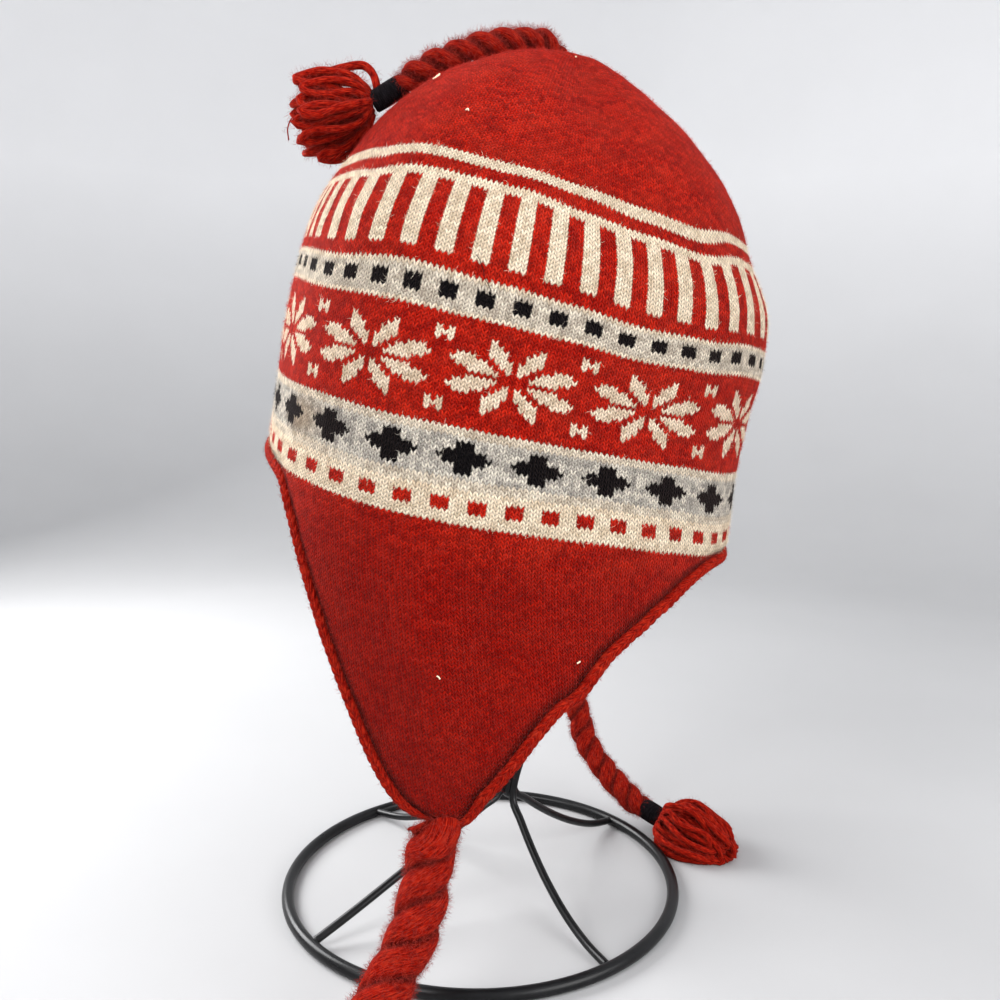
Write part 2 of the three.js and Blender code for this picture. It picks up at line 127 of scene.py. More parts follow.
# Outline of an earflap: angle from its middle in degrees, drop of its front and its back edge as shares.
FLAP = np.array([
    (0, 1.0, 1.0), (5, 0.995, 0.98), (9, 0.985, 0.895), (14, 0.9, 0.8), (20, 0.715, 0.662),
    (27, 0.495, 0.49), (32, 0.32, 0.36), (37, 0.17, 0.28), (44, 0.05, 0.193), (56, 0.02, 0.08),
    (66, 0.02, 0.03), (80, 0.02, 0.02), (180, 0.02, 0.02),
])

# Soft folds: angle and half width in degrees, the places they run between, and their rise as a share of KNIT.
FOLDS = [
    (-9, 9, -10, -1, 0.7), (4, 8, -10, -1, -0.8), (-28, 14, 2, 9, 0.8), (12, 12, 5, 9.6, -0.9),
    (66, 10, 4, 9.0, -0.35), (150, 14, 2, 9, 0.8), (190, 12, 5, 9.6, -0.8),
]

# Routes of the cords, given as points in millimetres. The crown cord's first end lies down on the felt.
NEAR_TIE_ROUTE = [
    (-24.5, -80.5, 64.9), (-26, -81, 56.5), (-27.5, -84, 49), (-29, -88, 42), (-31, -93, 35.5),
    (-34.5, -98, 30), (-38, -104, 25.5), (-41.5, -109.5, 21), (-45.5, -115.5, 16.5), (-49.5, -121, 12.5),
    (-54.5, -127, 9.5), (-60, -133, 7.9), (-66.5, -138.5, 7.6), (-73, -143.5, 7.6), (-79.5, -148, 7.6),
]
FAR_TIE_ROUTE = [
    (35, 79, 63.6), (34, 80, 59.5), (34, 80.5, 54.5), (35, 80, 49.5), (36.5, 79, 44.5),
    (37.5, 77.5, 39.5), (39, 75.5, 35), (41.5, 73, 31), (44, 70, 27.5), (47, 67.5, 24),
    (50, 64.5, 21), (53, 61.5, 18), (56.5, 58.5, 15.5), (59.5, 55.5, 13), (63.5, 52, 11.5),
]
TOP_CORD_ROUTE = [
    (21.5, -9.6, 328.6), (18.6, -9.6, 330), (15.4, -9.8, 331.8), (11.7, -10.6, 333.2), (7.5, -11.8, 332.9),
    (3.5, -13.2, 332.3), (-0.5, -14.8, 331.7), (-4.5, -16.4, 330.6), (-8.5, -17.6, 329.4), (-12.7, -18.4, 328.1),
    (-17, -18.9, 326.5), (-21.5, -19.2, 324.7), (-26.5, -19.2, 322.7), (-31.8, -18.9, 319.7), (-37.5, -18.4, 316.5),
]

# Wires of the stand: a leg's angle on the ring, how fast it drops, and the angle of the same wire inside the hat.
# A leg has points at these shares of its way down. Above the neck the wire swells by shares of its way out and up,
# and inside the hat it passes these places.
WIRES = [(-141, 1.05, -121), (-54, 2.2, -31), (40, 1.6, 59), (131, 1.6, 149)]
LEG_SHARES = (1, 0.8, 0.6, 0.42, 0.27, 0.14, 0.05)
SWELL = [(0.1, 0.14), (0.24, 0.3), (0.48, 0.5), (0.76, 0.74)]
INSIDE_PLACES = np.array([1, 1.8, 2.6, 3.4, 4.2, 5, 5.8, 6.6, 7.4, 8.2, 8.9])

# Camera: its place, how far it looks down in degrees, and its lens
EYE = Vector((-3.5, -366.6, 203.8)) * MM
EYE_DOWN = 6.35
LENS = 33.3


def placed(name, data):
    """An object of the scene that shows a mesh, a lamp or the camera."""
    made = bpy.data.objects.new(name, data)
    bpy.context.scene.collection.objects.link(made)
    return made


def camera():
    """The camera at the photograph's place and view."""
    data = bpy.data.cameras.new("camera")
    data.lens = LENS
    data.sensor_width = 36
    data.clip_start = 0.01
    eye = placed("camera", data)
    eye.location = EYE
    eye.rotation_euler = (math.radians(90 - EYE_DOWN), 0, 0)
    bpy.context.scene.camera = eye


camera()


# Paths and meshes made from numbers
def unit(vectors):
    return vectors / np.linalg.norm(vectors, axis=-1, keepdims=True)


def run_along(path):
    """How far along a path each of its points lies."""
    return np.concatenate([[0], np.cumsum(np.linalg.norm(np.diff(path, axis=0), axis=1))])


def length_of(path):
    return float(run_along(path)[-1])


def smooth_path(points, count):
    """count points, evenly spaced, on a smooth curve through the given ones."""
    p = np.asarray(points, float)
    p = np.vstack([2 * p[0] - p[1], p, 2 * p[-1] - p[-2]])
    f = np.linspace(0, 1, 16, endpoint=False)[:, None]
    fine = []
    for a, b, c, d in zip(p, p[1:], p[2:], p[3:]):
        before, here, after = (max(np.linalg.norm(e - s), 1e-9) ** 0.5 for s, e in ((a, b), (b, c), (c, d)))
        leave = here * ((b - a) / before - (c - a) / (before + here) + (c - b) / here)
        reach = here * ((c - b) / here - (d - b) / (here + after) + (d - c) / after)
        fine.append(
            (2 * f**3 - 3 * f**2 + 1) * b
            + (f**3 - 2 * f**2 + f) * leave
            + (3 * f**2 - 2 * f**3) * c
            + (f**3 - f**2) * reach
        )
    fine = np.vstack(fine + [p[-2][None]])
    run = run_along(fine)
    even = np.linspace(0, run[-1], count)
    return np.column_stack([np.interp(even, run, fine[:, k]) for k in range(3)])


def frames_along(path, closed=False):
    """Directions along, to the side of and above a path, carried along it without a twist."""
    before, after = (path[-1], path[0]) if closed else (2 * path[0] - path[1], 2 * path[-1] - path[-2])
    ends = np.vstack([before, path, after])
    along = unit(ends[2:] - ends[:-2])
    side = np.cross(along[0], (0, 0, 1))
    if np.linalg.norm(side) < 0.1:
        side = np.array([1.0, 0, 0])
    sides = []
    for t in along:
        side = unit(side - t * side.dot(t))
        sides.append(side)
    sides = np.array(sides)
    return along, sides, np.cross(along, sides)


def read(collection, key, width, kind=float):
    """One value or row of values of each item of a mesh."""
    values = np.empty(len(collection) * width, kind)
    collection.foreach_get(key, values)
    return values.reshape(-1, width)


def lay_uv(mesh, name, places):
    """A layer of pattern places, one for each corner of each face."""
    mesh.uv_layers.new(name=name).data.foreach_set("uv", np.asarray(places, float).ravel())


def mesh_of(name, corners, faces, material, smooth=True):
    """A mesh with its material."""
    mesh = bpy.data.meshes.new(name)
    mesh.from_pydata(np.asarray(corners).tolist(), [], faces)
    mesh.polygons.foreach_set("use_smooth", np.full(len(mesh.polygons), smooth))
    mesh.materials.append(material)
    return mesh


def on_root(piece, node=None):
    """The piece belongs to the frame's one body, in place of its solid if it has one."""
    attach(piece, "root")
    if node:
        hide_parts(node)
    return piece


class Shape:
    """Corners, faces and pattern places of a mesh that grows part by part."""

    def __init__(self):
        self.corners, self.faces, self.places, self.hollows, self.count = [], [], [], [], 0

    def add(self, corners, faces, places):
        self.corners.append(np.asarray(corners, float))
        self.faces += [tuple(int(i) + self.count for i in face) for face in faces]
        self.places += places
        self.count += len(corners)

    def add_rings(self, rings, run, step, slant=0.0, closed=False, hollow=False):
        """Faces between rings of corners, and over both ends. Places run round the rings and along, in metres."""
        n, sides = rings.shape[:2]
        faces, places = [], []
        for i in range(n if closed else n - 1):
            k = (i + 1) % n
            low, high = run[i], run[k] if k else run[-1] + run[1]
            for j in range(sides):
                m = (j + 1) % sides
                faces.append((i * sides + j, i * sides + m, k * sides + m, k * sides + j))
                for turn, at in ((j, low), (j + 1, low), (j + 1, high), (j, high)):
                    places.append((turn * step + slant * at, at))
                    # The hollow layer: how far each corner faces away from the cord's middle, for the painted shade
                    # in the groove
                    if hollow:
                        self.hollows.append((0.0, math.cos(TURN * turn / sides)))
        for end, order in () if closed else ((0, -1), (n - 1, 1)):
            faces.append([end * sides + j for j in range(sides)][::order])
            places += [(0.0, run[end])] * sides
            if hollow:
                self.hollows += [(0.0, 1.0)] * sides
        self.add(rings.reshape(-1, 3), faces, places)

    def add_tube(self, path, radii, sides, turn=0.0, closed=False):
        """A round tube along path."""
        along, side, rise = frames_along(path, closed)
        a = TURN * np.arange(sides) / sides + turn
        radii = np.broadcast_to(radii, len(path))
        rings = (
            path[:, None]
            + radii[:, None, None] * np.cos(a)[None, :, None] * side[:, None]
            + radii[:, None, None] * np.sin(a)[None, :, None] * rise[:, None]
        )
        self.add_rings(rings, run_along(path), TURN * float(np.mean(radii)) / sides, closed=closed)

    def piece(self, name, material, slot, node=None):
        mesh = mesh_of(name, np.vstack(self.corners), self.faces, material)
        lay_uv(mesh, "yarn", self.places)
        if self.hollows:
            lay_uv(mesh, "hollow", self.hollows)
        return on_root(placed(name, mesh), node)


# The hat's surface, the same functions as the frame's solids follow
def on_table(values, place):
    """A value from a table, on a smooth curve through its rows."""
    place = np.asarray(place, float)
    last = len(values) - 1
    i = np.clip(np.floor(place).astype(int), 0, last - 1)
    f = place - i
    padded = np.concatenate([[2 * values[0] - values[1]], values, [2 * values[-1] - values[-2]]])
    a, b, c, d = (padded[i + k] for k in range(4))
    return 0.5 * (2 * b + (c - a) * f + (2 * a - 5 * b + 4 * c - d) * f**2 + (3 * b - a - 3 * c + d) * f**3)


def power(x, e):
    return np.sign(x) * np.abs(x) ** e


def wrapped(angle):
    return (angle + math.pi) % TURN - math.pi


HAT_TURN = np.array(Matrix.Rotation(TILT, 3, "Y") @ Matrix.Rotation(LEAN, 3, "X"))


def crown_point(angle, place):
    """A point of the crown, a stack of rounded squares."""
    e = 2 / on_table(SQUARE, place)
    turned = angle - SQUARE_TURN
    x = HALF_WIDTH * np.maximum(0, on_table(WIDTH, place)) * power(np.sin(turned), e)
    y = -HALF_DEPTH * np.maximum(0, on_table(DEPTH, place)) * power(np.cos(turned), e)
    flat = np.stack(
        [
            x * math.cos(SQUARE_TURN) - y * math.sin(SQUARE_TURN) + HALF_WIDTH * on_table(SHIFT, place),
            x * math.sin(SQUARE_TURN) + y * math.cos(SQUARE_TURN),
            CROWN_HEIGHT * on_table(HEIGHT, place),
        ],
        axis=-1,
    )
    return flat @ HAT_TURN.T + HAT_AT


def drop_at(angle):
    """How far the hat's edge hangs below the bands at an angle."""
    near, far = wrapped(angle - NEAR_FLAP), wrapped(angle - FAR_FLAP)
    off = np.where(np.abs(near) < np.abs(far), near, -far)
    place = np.interp(np.degrees(np.abs(off)), FLAP[:, 0], np.arange(len(FLAP)))
    share = np.where(off < 0, on_table(FLAP[:, 1], place), on_table(FLAP[:, 2], place))
    return FLAP_DROP * np.maximum(FLAP[-1, 1], share)


def plain_point(angle, place):
    """A point of the outer face: place 0 is the bands' lower edge, TOP_PLACE the top, -10 the flap's edge."""
    angle, place = np.broadcast_arrays(np.asarray(angle, float), np.asarray(place, float))
    crown = crown_point(angle, np.maximum(place, 0))
    hem = crown_point(angle, np.zeros_like(place))
    drop = drop_at(angle) * np.maximum(-place, 0) / 10
    leaning = FLAP_SETTLE * (1 - np.exp(-drop / FLAP_SETTLE))
    down = leaning[..., None] * (HAT_TURN @ np.array([0, 0, -1.0]))
    hang = (drop - leaning)[..., None] * np.array([FLAP_SWAY, 0, -1])
    tuck = np.zeros_like(hem)
    tuck[..., 1] = -FLAP_TUCK * np.sign(hem[..., 1] - HAT_AT[1]) * np.abs(np.cos(angle)) * (drop / FLAP_DROP) ** 2
    tip = np.exp(-((wrapped(angle - NEAR_TIP) / TIP_WIDTH) ** 2)) * np.clip(-place / 10, 0, 1) ** 4
    tuck[..., 2] = -TIP_REACH * tip
    return np.where((place >= 0)[..., None], crown, hem + down + hang + tuck)


def normal_at(angle, place):
    step = 1e-3
    up = np.minimum(place, TOP_PLACE - 2 * step)
    across = plain_point(angle + step, up) - plain_point(angle - step, up)
    along = plain_point(angle, up + step) - plain_point(angle, up - step)
    return unit(np.cross(across, along))


def fold_at(angle, place):
    """How far the soft folds lift a point."""
    rise = np.zeros(np.broadcast(angle, place).shape)
    for middle_angle, half_width, low, high, height in FOLDS:
        across = (np.degrees(angle) - middle_angle + 180) % 360 - 180
        along = (place - (low + high) / 2) / ((high - low) / 2)
        bump = np.exp(-((across / half_width) ** 2)) * np.cos(along * math.pi / 2) ** 2
        rise += np.where(np.abs(along) < 1, height * bump, 0)
    return rise * KNIT


def hat_point(angle, place, depth=0.0):
    """A point of the folded hat, so deep below its outer face."""
    lift = fold_at(angle, place) - depth
    return plain_point(angle, place) + normal_at(angle, place) * np.asarray(lift)[..., None]


def apex_point(depth):
    top = np.array([HALF_WIDTH * SHIFT[-1], 0, CROWN_HEIGHT - depth])
    return HAT_TURN @ top + HAT_AT


# Stitches are counted round the hat at the height of the stars; angle 0 is stitch 0.
STAR_PLACE = 2.0
ROUND = np.linspace(-math.pi, math.pi, 1441)
ARC = run_along(plain_point(ROUND, STAR_PLACE))
ARC_SHARE = ARC / ARC[-1]
STITCH_AT = (ARC_SHARE - np.interp(0, ROUND, ARC_SHARE)) * STITCHES + PATTERN_SHIFT


def angle_of(stitch):
    return np.interp(stitch, STITCH_AT, ROUND)


# Where the rows lie: up to BANDS_TOP these rows have these heights, as shares of CROWN_HEIGHT
BANDS_TOP = 5
ROW_SHARE = np.array([0, 0.024, 0.108, 0.261, 0.399, 0.458, 0.637])
ROW_AT = np.array([1.4, 4.3, 14.6, 33.5, 50.2, 57, 79.7])

# Waves of the bands: how many rows each of these rows lies too high at these stitches
WAVE_STITCHES = np.array([-75, -50, -32, -16, 0, 12, 24, 36, 50, 75, 115])
WAVE_ROWS = np.array([-12, 4.5, 14.5, 33.5, 50.5, 57, 79.5, 96])
WAVES = np.array([
    (0, 0, 0, 0, 0, 0, 0, 0, 0, 0, 0),
    (0, -0.8, -1.5, -1.9, -1.0, 0, 0.8, 0.5, -0.4, 0, 0),
    (0, -0.5, -0.3, -0.7, -0.1, 0.3, 0.8, 0.8, -0.5, 0, 0),
    (0, 0, -0.1, -0.2, 0.2, 0.1, -0.1, 0, 1.0, 0, 0),
    (0, 0.9, -0.5, 0.4, -0.2, -0.7, -1.9, -0.9, 0.9, 0, 0),
    (0, 0.3, 0, 1.8, 0.8, -0.2, -1.3, -1.2, 0.5, 0, 0),
    (0, -0.9, 0.9, 3.0, 3.3, 1.5, 0, -0.9, 2.0, 2.0, 0),
    (0, 0, 0, 0, 0, 0, 0, 0, 0, 0, 0),
])


def wave_at(angle, row):
    """How far a row has shifted up the hat at an angle, in rows."""
    stitch = np.interp(angle, ROUND, STITCH_AT)
    i = np.clip(np.searchsorted(WAVE_STITCHES, stitch) - 1, 0, len(WAVE_STITCHES) - 2)
    k = np.clip(np.searchsorted(WAVE_ROWS, row) - 1, 0, len(WAVE_ROWS) - 2)
    across = np.clip((stitch - WAVE_STITCHES[i]) / (WAVE_STITCHES[i + 1] - WAVE_STITCHES[i]), 0, 1)
    up = np.clip((row - WAVE_ROWS[k]) / (WAVE_ROWS[k + 1] - WAVE_ROWS[k]), 0, 1)
    across = across * across * (3 - 2 * across)
    low = WAVES[k, i] * (1 - across) + WAVES[k, i + 1] * across
    high = WAVES[k + 1, i] * (1 - across) + WAVES[k + 1, i + 1] * across
    return low * (1 - up) + high * up


def rows_of(angle, place):
    """The knit row at a place, as a number of rows above the bands' lower edge."""
    share = on_table(HEIGHT, np.maximum(place, 0))
    below = ROW_AT[0] - drop_at(angle) * np.maximum(-place, 0) / 10 / ROW
    closing = np.linspace(BANDS_TOP, TOP_PLACE, 60)
    above = np.interp(place, closing, run_along(plain_point(0.5, closing))) / ROW + ROW_AT[-1]
    banded = np.interp(share, ROW_SHARE, ROW_AT)
    plain = np.where(place < 0, below, np.where(place > BANDS_TOP, above, banded))
    return plain - wave_at(angle, plain)


# Materials
def srgb(r, g, b):
    """A colour given as a screen shows it, from 0 to 255."""
    def level(c):
        c /= 255
        return c / 12.92 if c <= 0.04045 else ((c + 0.055) / 1.055) ** 2.4

    return (level(r), level(g), level(b), 1)


class Nodes:
    """Short names for the nodes of one tree."""

    def __init__(self, tree):
        self.tree = tree

    def feed(self, socket, value):
        if isinstance(value, bpy.types.NodeSocket):
            self.tree.links.new(value, socket)
        elif value is not None:
            socket.default_value = value

    def add(self, kind, *values, **settings):
        node = self.tree.nodes.new(kind)
        for key, value in settings.items():
            setattr(node, key, value)
        for socket, value in zip(node.inputs, values):
            self.feed(socket, value)
        return node

    def math(self, operation, *values):
        return self.add("ShaderNodeMath", *values, operation=operation).outputs[0]

    def plus(self, a, b):
        return self.math("ADD", a, b)

    def minus(self, a, b):
        return self.math("SUBTRACT", a, b)

    def times(self, a, b):
        return self.math("MULTIPLY", a, b)

    def over(self, a, b):
        return self.math("DIVIDE", a, b)

    def split(self, vector):
        return self.add("ShaderNodeSeparateXYZ", vector).outputs

    def join(self, x, y, z):
        return self.add("ShaderNodeCombineXYZ", x, y, z).outputs[0]

    def noise(self, vector, scale, detail=2.0, rough=0.5):
        node = self.tree.nodes.new("ShaderNodeTexNoise")
        for name, value in (("Vector", vector), ("Scale", scale), ("Detail", detail), ("Roughness", rough)):
            self.feed(node.inputs[name], value)
        return node.outputs["Fac"], node.outputs["Color"]

    def mix(self, share, a, b, blend="MIX"):
        node = self.tree.nodes.new("ShaderNodeMix")
        node.data_type = "RGBA"
        node.blend_type = blend
        colours = [s for s in node.inputs if s.type == "RGBA"]
        self.feed(node.inputs[0], share)
        self.feed(colours[0], a)
        self.feed(colours[1], b)
        return [s for s in node.outputs if s.type == "RGBA"][0]

    def level(self, value, low, high, to_low=0.0, to_high=1.0):
        node = self.add("ShaderNodeMapRange", value, low, high, to_low, to_high)
        node.clamp = True
        return node.outputs[0]

    def group(self, tree, **values):
        node = self.tree.nodes.new("ShaderNodeGroup")
        node.node_tree = tree
        for name, value in values.items():
            self.feed(node.inputs[name.replace("_", " ")], value)
        return node.outputs


def node_group(name, inputs, outputs):
    """An empty group with its sockets, and its two ends. Places are a vector, all else are values."""
    tree = bpy.data.node_groups.new(name, "ShaderNodeTree")
    for side, sockets in (("INPUT", inputs), ("OUTPUT", outputs)):
        for words in sockets:
            kind = "NodeSocketVector" if words == "Places" else "NodeSocketFloat"
            tree.interface.new_socket(words, in_out=side, socket_type=kind)
    nodes = Nodes(tree)
    start = tree.nodes.new("NodeGroupInput").outputs
    end = tree.nodes.new("NodeGroupOutput").inputs
    return nodes, start, end


def knit_group():
    """Stockinette: which stitch a point lies in, how high its leg stands there, where the holes between legs lie, as
    a mask for painted shade, and a chance value a stitch.
    """
    n, start, end = node_group(
        "knit stitch", ["Places", "Wander", "Blur", "V depth"], ["Column", "Row", "Leg", "Hole shade", "Chance"]
    )

    def strayed(places, noise_scale, amount):
        _, stray = n.noise(start["Places"], noise_scale, 3, 0.65)
        away = n.add("ShaderNodeVectorMath", stray, (0.5, 0.5, 0.5), operation="SUBTRACT").outputs[0]
        scaled = n.add("ShaderNodeVectorMath", away, operation="SCALE")
        n.feed(scaled.inputs["Scale"], amount)
        return n.add("ShaderNodeVectorMath", places, scaled.outputs[0], operation="ADD").outputs[0]

    def stitch_at(places):
        split = n.split(places)
        column = n.math("FLOOR", split[0])
        off = n.math("ABSOLUTE", n.minus(n.minus(split[0], column), 0.5))
        lifted = n.minus(split[1], n.times(n.times(off, 2), start["V depth"]))
        return column, off, lifted

    calm = strayed(start["Places"], 1.3, start["Wander"])
    _, off, lifted = stitch_at(calm)
    thick = n.math("SINE", n.times(n.math("FRACT", lifted), math.pi))
    wide = n.math("ABSOLUTE", n.math("SINE", n.times(off, TURN)))
    leg = n.times(n.math("POWER", n.math("MAXIMUM", thick, 0), 0.7), n.math("POWER", wide, 0.5))
    # Holes between the legs: a mask for the painted shade the felt gets there
    hole_shade = n.level(n.plus(n.math("MAXIMUM", thick, 0), wide), 0.15, 0.75, 1.0, 0.0)
    column, _, lifted = stitch_at(strayed(calm, 5.5, start["Blur"]))
    row = n.math("FLOOR", lifted)
    which = n.join(n.math("WRAP", column, STITCHES / 2, -STITCHES / 2), row, 0)
    n.feed(end["Column"], column)
    n.feed(end["Row"], row)
    n.feed(end["Leg"], leg)
    n.feed(end["Hole shade"], hole_shade)
    n.feed(end["Chance"], n.add("ShaderNodeTexWhiteNoise", which).outputs["Value"])
    return n.tree


def distances(n, start):
    """How many stitches and rows a stitch is from the middle of its motif."""
    centre = n.minus(start["Column"], start["Centre"])
    half = n.times(start["Period"], 0.5)
    across = n.math("ABSOLUTE", n.math("WRAP", centre, half, n.times(half, -1)))
    up = n.math("ABSOLUTE", n.minus(n.plus(start["Row"], 0.5), start["Middle"]))
    return across, up


MOTIF_SOCKETS = ["Column", "Row", "Centre", "Period", "Middle"]


def block_group():
    """A rectangle of stitches that repeats round the hat: dots, squares and bars."""
    n, start, end = node_group("block motif", [*MOTIF_SOCKETS, "Half width", "Half height"], ["Mask"])
    across, up = distances(n, start)
    beside = n.math("LESS_THAN", across, start["Half width"])
    n.feed(end["Mask"], n.times(beside, n.math("LESS_THAN", up, start["Half height"])))
    return n.tree


def chart_group(name, rows):
    """A motif given as a chart: one quarter of it, from its middle out, rows from the middle up."""
    n, start, end = node_group(name, MOTIF_SOCKETS, ["Mask"])
    across, up = distances(n, start)
    row = n.math("FLOOR", n.plus(up, 0.01))
    ramp = n.add("ShaderNodeValToRGB", n.over(n.plus(row, 0.5), len(rows) + 1))
    bits = ramp.color_ramp
    bits.interpolation = "CONSTANT"
    width = max(len(r) for r in rows)
    for i, text in enumerate([*rows, ""]):
        number = sum(2**k for k, c in enumerate(text) if c == "X") / 2**width
        place = i / (len(rows) + 1)
        element = bits.elements[0] if i == 0 else bits.elements.new(place)
        element.position = place
        element.color = (number, number, number, 1)
    while len(bits.elements) > len(rows) + 1:
        bits.elements.remove(bits.elements[-1])
    shifted = n.over(n.times(ramp.outputs["Color"], 2.0**width), n.math("POWER", 2, across))
    bit = n.math("MODULO", n.math("FLOOR", n.plus(shifted, 0.001)), 2)
    inside = n.math("LESS_THAN", up, len(rows) - 0.5)
    n.feed(end["Mask"], n.times(n.times(bit, inside), n.math("LESS_THAN", across, width - 0.5)))
    return n.tree


def band_group():
    """Rows that run all round the hat."""
    n, start, end = node_group("band", ["Row", "From", "To"], ["Mask"])
    row = n.plus(start["Row"], 0.5)
    over, under = n.math("GREATER_THAN", row, start["From"]), n.math("LESS_THAN", row, start["To"])
    n.feed(end["Mask"], n.times(over, under))
    return n.tree


def wool_group():
    """Fine wool: fibres that lie along the places' second direction, and cloudy heather."""
    n, start, end = node_group("wool fibre", ["Places", "Fibre scale", "Stretch", "Cloud scale"], ["Fibre", "Cloud"])
    split = n.split(start["Places"])
    along = n.times(split[1], start["Stretch"])
    lying = n.join(split[0], along, split[2])
    fibre, _ = n.noise(lying, start["Fibre scale"], 3, 0.6)
    cloud, _ = n.noise(start["Places"], start["Cloud scale"], 3, 0.6)
    n.feed(end["Fibre"], fibre)
    n.feed(end["Cloud"], cloud)
    return n.tree


KNIT_STITCH = knit_group()
BLOCK = block_group()
BAND = band_group()
WOOL = wool_group()
STAR = chart_group("star chart", [
    "",
    "...XXXXX",
    ".X..XXXXXX",
    ".XX..XXXXXX",
    ".XXX...XXX",
    "..XXX",
    "..XXX",
    "...XX......X",
    "....X......XX",
    "...........X",
])
CROSS = chart_group("cross chart", ["XXXXX", "XXXX", "XX", "XX"])


def shaded(name, roughness, gloss=0.5, sheen=0.0, sheen_tint=(1, 1, 1, 1), sheen_rough=0.5):
    """A material with its shader and a builder for its nodes."""
    material = bpy.data.materials.new(name)
    material.use_nodes = True
    shader = material.node_tree.nodes["Principled BSDF"]
    names = ("Roughness", "Specular IOR Level", "Sheen Weight", "Sheen Tint", "Sheen Roughness")
    for socket, value in zip(names, (roughness, gloss, sheen, sheen_tint, sheen_rough)):
        shader.inputs[socket].default_value = value
    return material, Nodes(material.node_tree), shader


def uv_places(n, layer):
    node = n.tree.nodes.new("ShaderNodeUVMap")
    node.uv_map = layer
    return node.outputs[0]


def bumped(n, shader, height, distance, strength=1.0):
    node = n.tree.nodes.new("ShaderNodeBump")
    n.feed(node.inputs["Strength"], strength)
    n.feed(node.inputs["Distance"], distance)
    n.feed(node.inputs["Height"], height)
    n.feed(shader.inputs["Normal"], node.outputs[0])


WOOL_GLOSS = 0.05
RED = srgb(196, 28, 10)
RED_LIGHT = srgb(216, 58, 34)
RED_DARK = srgb(142, 10, 3)
CREAM = srgb(254, 236, 210)
INK = srgb(8, 7, 9)
STAIN = (-32.5, 14, 9, 8)  # stitch, row, and half sizes in stitches and rows


def spot(n, split, stitch, row, half_wide, half_high, stray):
    """A soft blotch at one place of the knit."""
    across = n.over(n.minus(split[0], stitch), half_wide)
    up = n.over(n.minus(split[1], row), half_high)
    away = n.math("SQRT", n.plus(n.times(across, across), n.times(up, up)))
    return n.level(n.plus(away, n.times(n.minus(stray, 0.5), 1.6)), 1.0, 0.1)


def felt_colour(n, places):
    """The hat's pattern and wool colours at the places of its stitches."""
    stitch = n.group(KNIT_STITCH, Places=places, Wander=0.45, Blur=0.9, V_depth=0.85)
    column, row = stitch["Column"], stitch["Row"]
    split = n.split(places)

    def band(low, high):
        return n.group(BAND, Row=row, From=low, To=high)["Mask"]

    def motif(tree, centre, period, middle, **more):
        return n.group(tree, Column=column, Row=row, Centre=centre, Period=period, Middle=middle, **more)["Mask"]

    wool = n.group(WOOL, Places=places, Fibre_scale=4.5, Stretch=0.6, Cloud_scale=0.11)
    tuft = n.plus(n.times(wool["Fibre"], 0.75), n.times(stitch["Chance"], 0.25))
    red = n.mix(n.level(tuft, 0.34, 0.62), RED_DARK, RED)
    red = n.mix(n.level(tuft, 0.58, 0.8, 0.0, 0.7), red, RED_LIGHT)
    red = n.mix(n.level(wool["Cloud"], 0.4, 0.7, 0.0, 0.3), red, RED_LIGHT)
    lower = n.level(split[1], -14, 2)
    red = n.mix(n.times(n.minus(1, lower), 0.6), red, RED_DARK)
    cream = n.mix(n.level(tuft, 0.3, 0.6), srgb(226, 198, 164), CREAM)
    grey = n.mix(n.level(tuft, 0.36, 0.66), srgb(158, 151, 143), srgb(236, 226, 210))
    stain = spot(n, split, *STAIN, wool["Cloud"])
    grey = n.mix(n.times(stain, 0.6), grey, srgb(150, 122, 88))
    ink = n.mix(n.level(wool["Fibre"], 0.45, 0.8), INK, srgb(27, 24, 26))
    squares = motif(BLOCK, 1, SQUARE_PERIOD, SQUARE_ROW, Half_width=DOT_HALF, Half_height=DOT_HALF)
    crosses = motif(CROSS, 10, CROSS_PERIOD, CROSS_ROW)
    stars = motif(STAR, 4, STAR_PERIOD, STAR_ROW)
    dots = motif(BLOCK, 3, SQUARE_PERIOD, DOT_ROW, Half_width=DOT_HALF, Half_height=DOT_HALF)
    bars = motif(BLOCK, 1, SQUARE_PERIOD, BAR_ROW, Half_width=DOT_HALF, Half_height=BAR_HALF_HEIGHT)
    low, high = CROSS_BAND
    first, last = DOTS_BAND
    colour = red
    for mask, over in (
        (band(*SQUARES_BAND), cream),
        (squares, red),
        (band(low, high), grey),
        (n.times(band(high - 2, high), 0.6), cream),
        (n.times(band(low, low + 2), 0.5), cream),
        (crosses, ink),
        (n.times(stars, 0.93), cream),
        (band(first, last), n.mix(0.35, grey, cream)),
        (n.times(band(first, first + 1), 0.7), cream),
        (n.times(band(last - 1, last), 0.7), cream),
        (dots, ink),
        (bars, cream),
        *((band(*line), cream) for line in LINES),
    ):
        colour = n.mix(mask, colour, over)
    return colour, stitch, wool


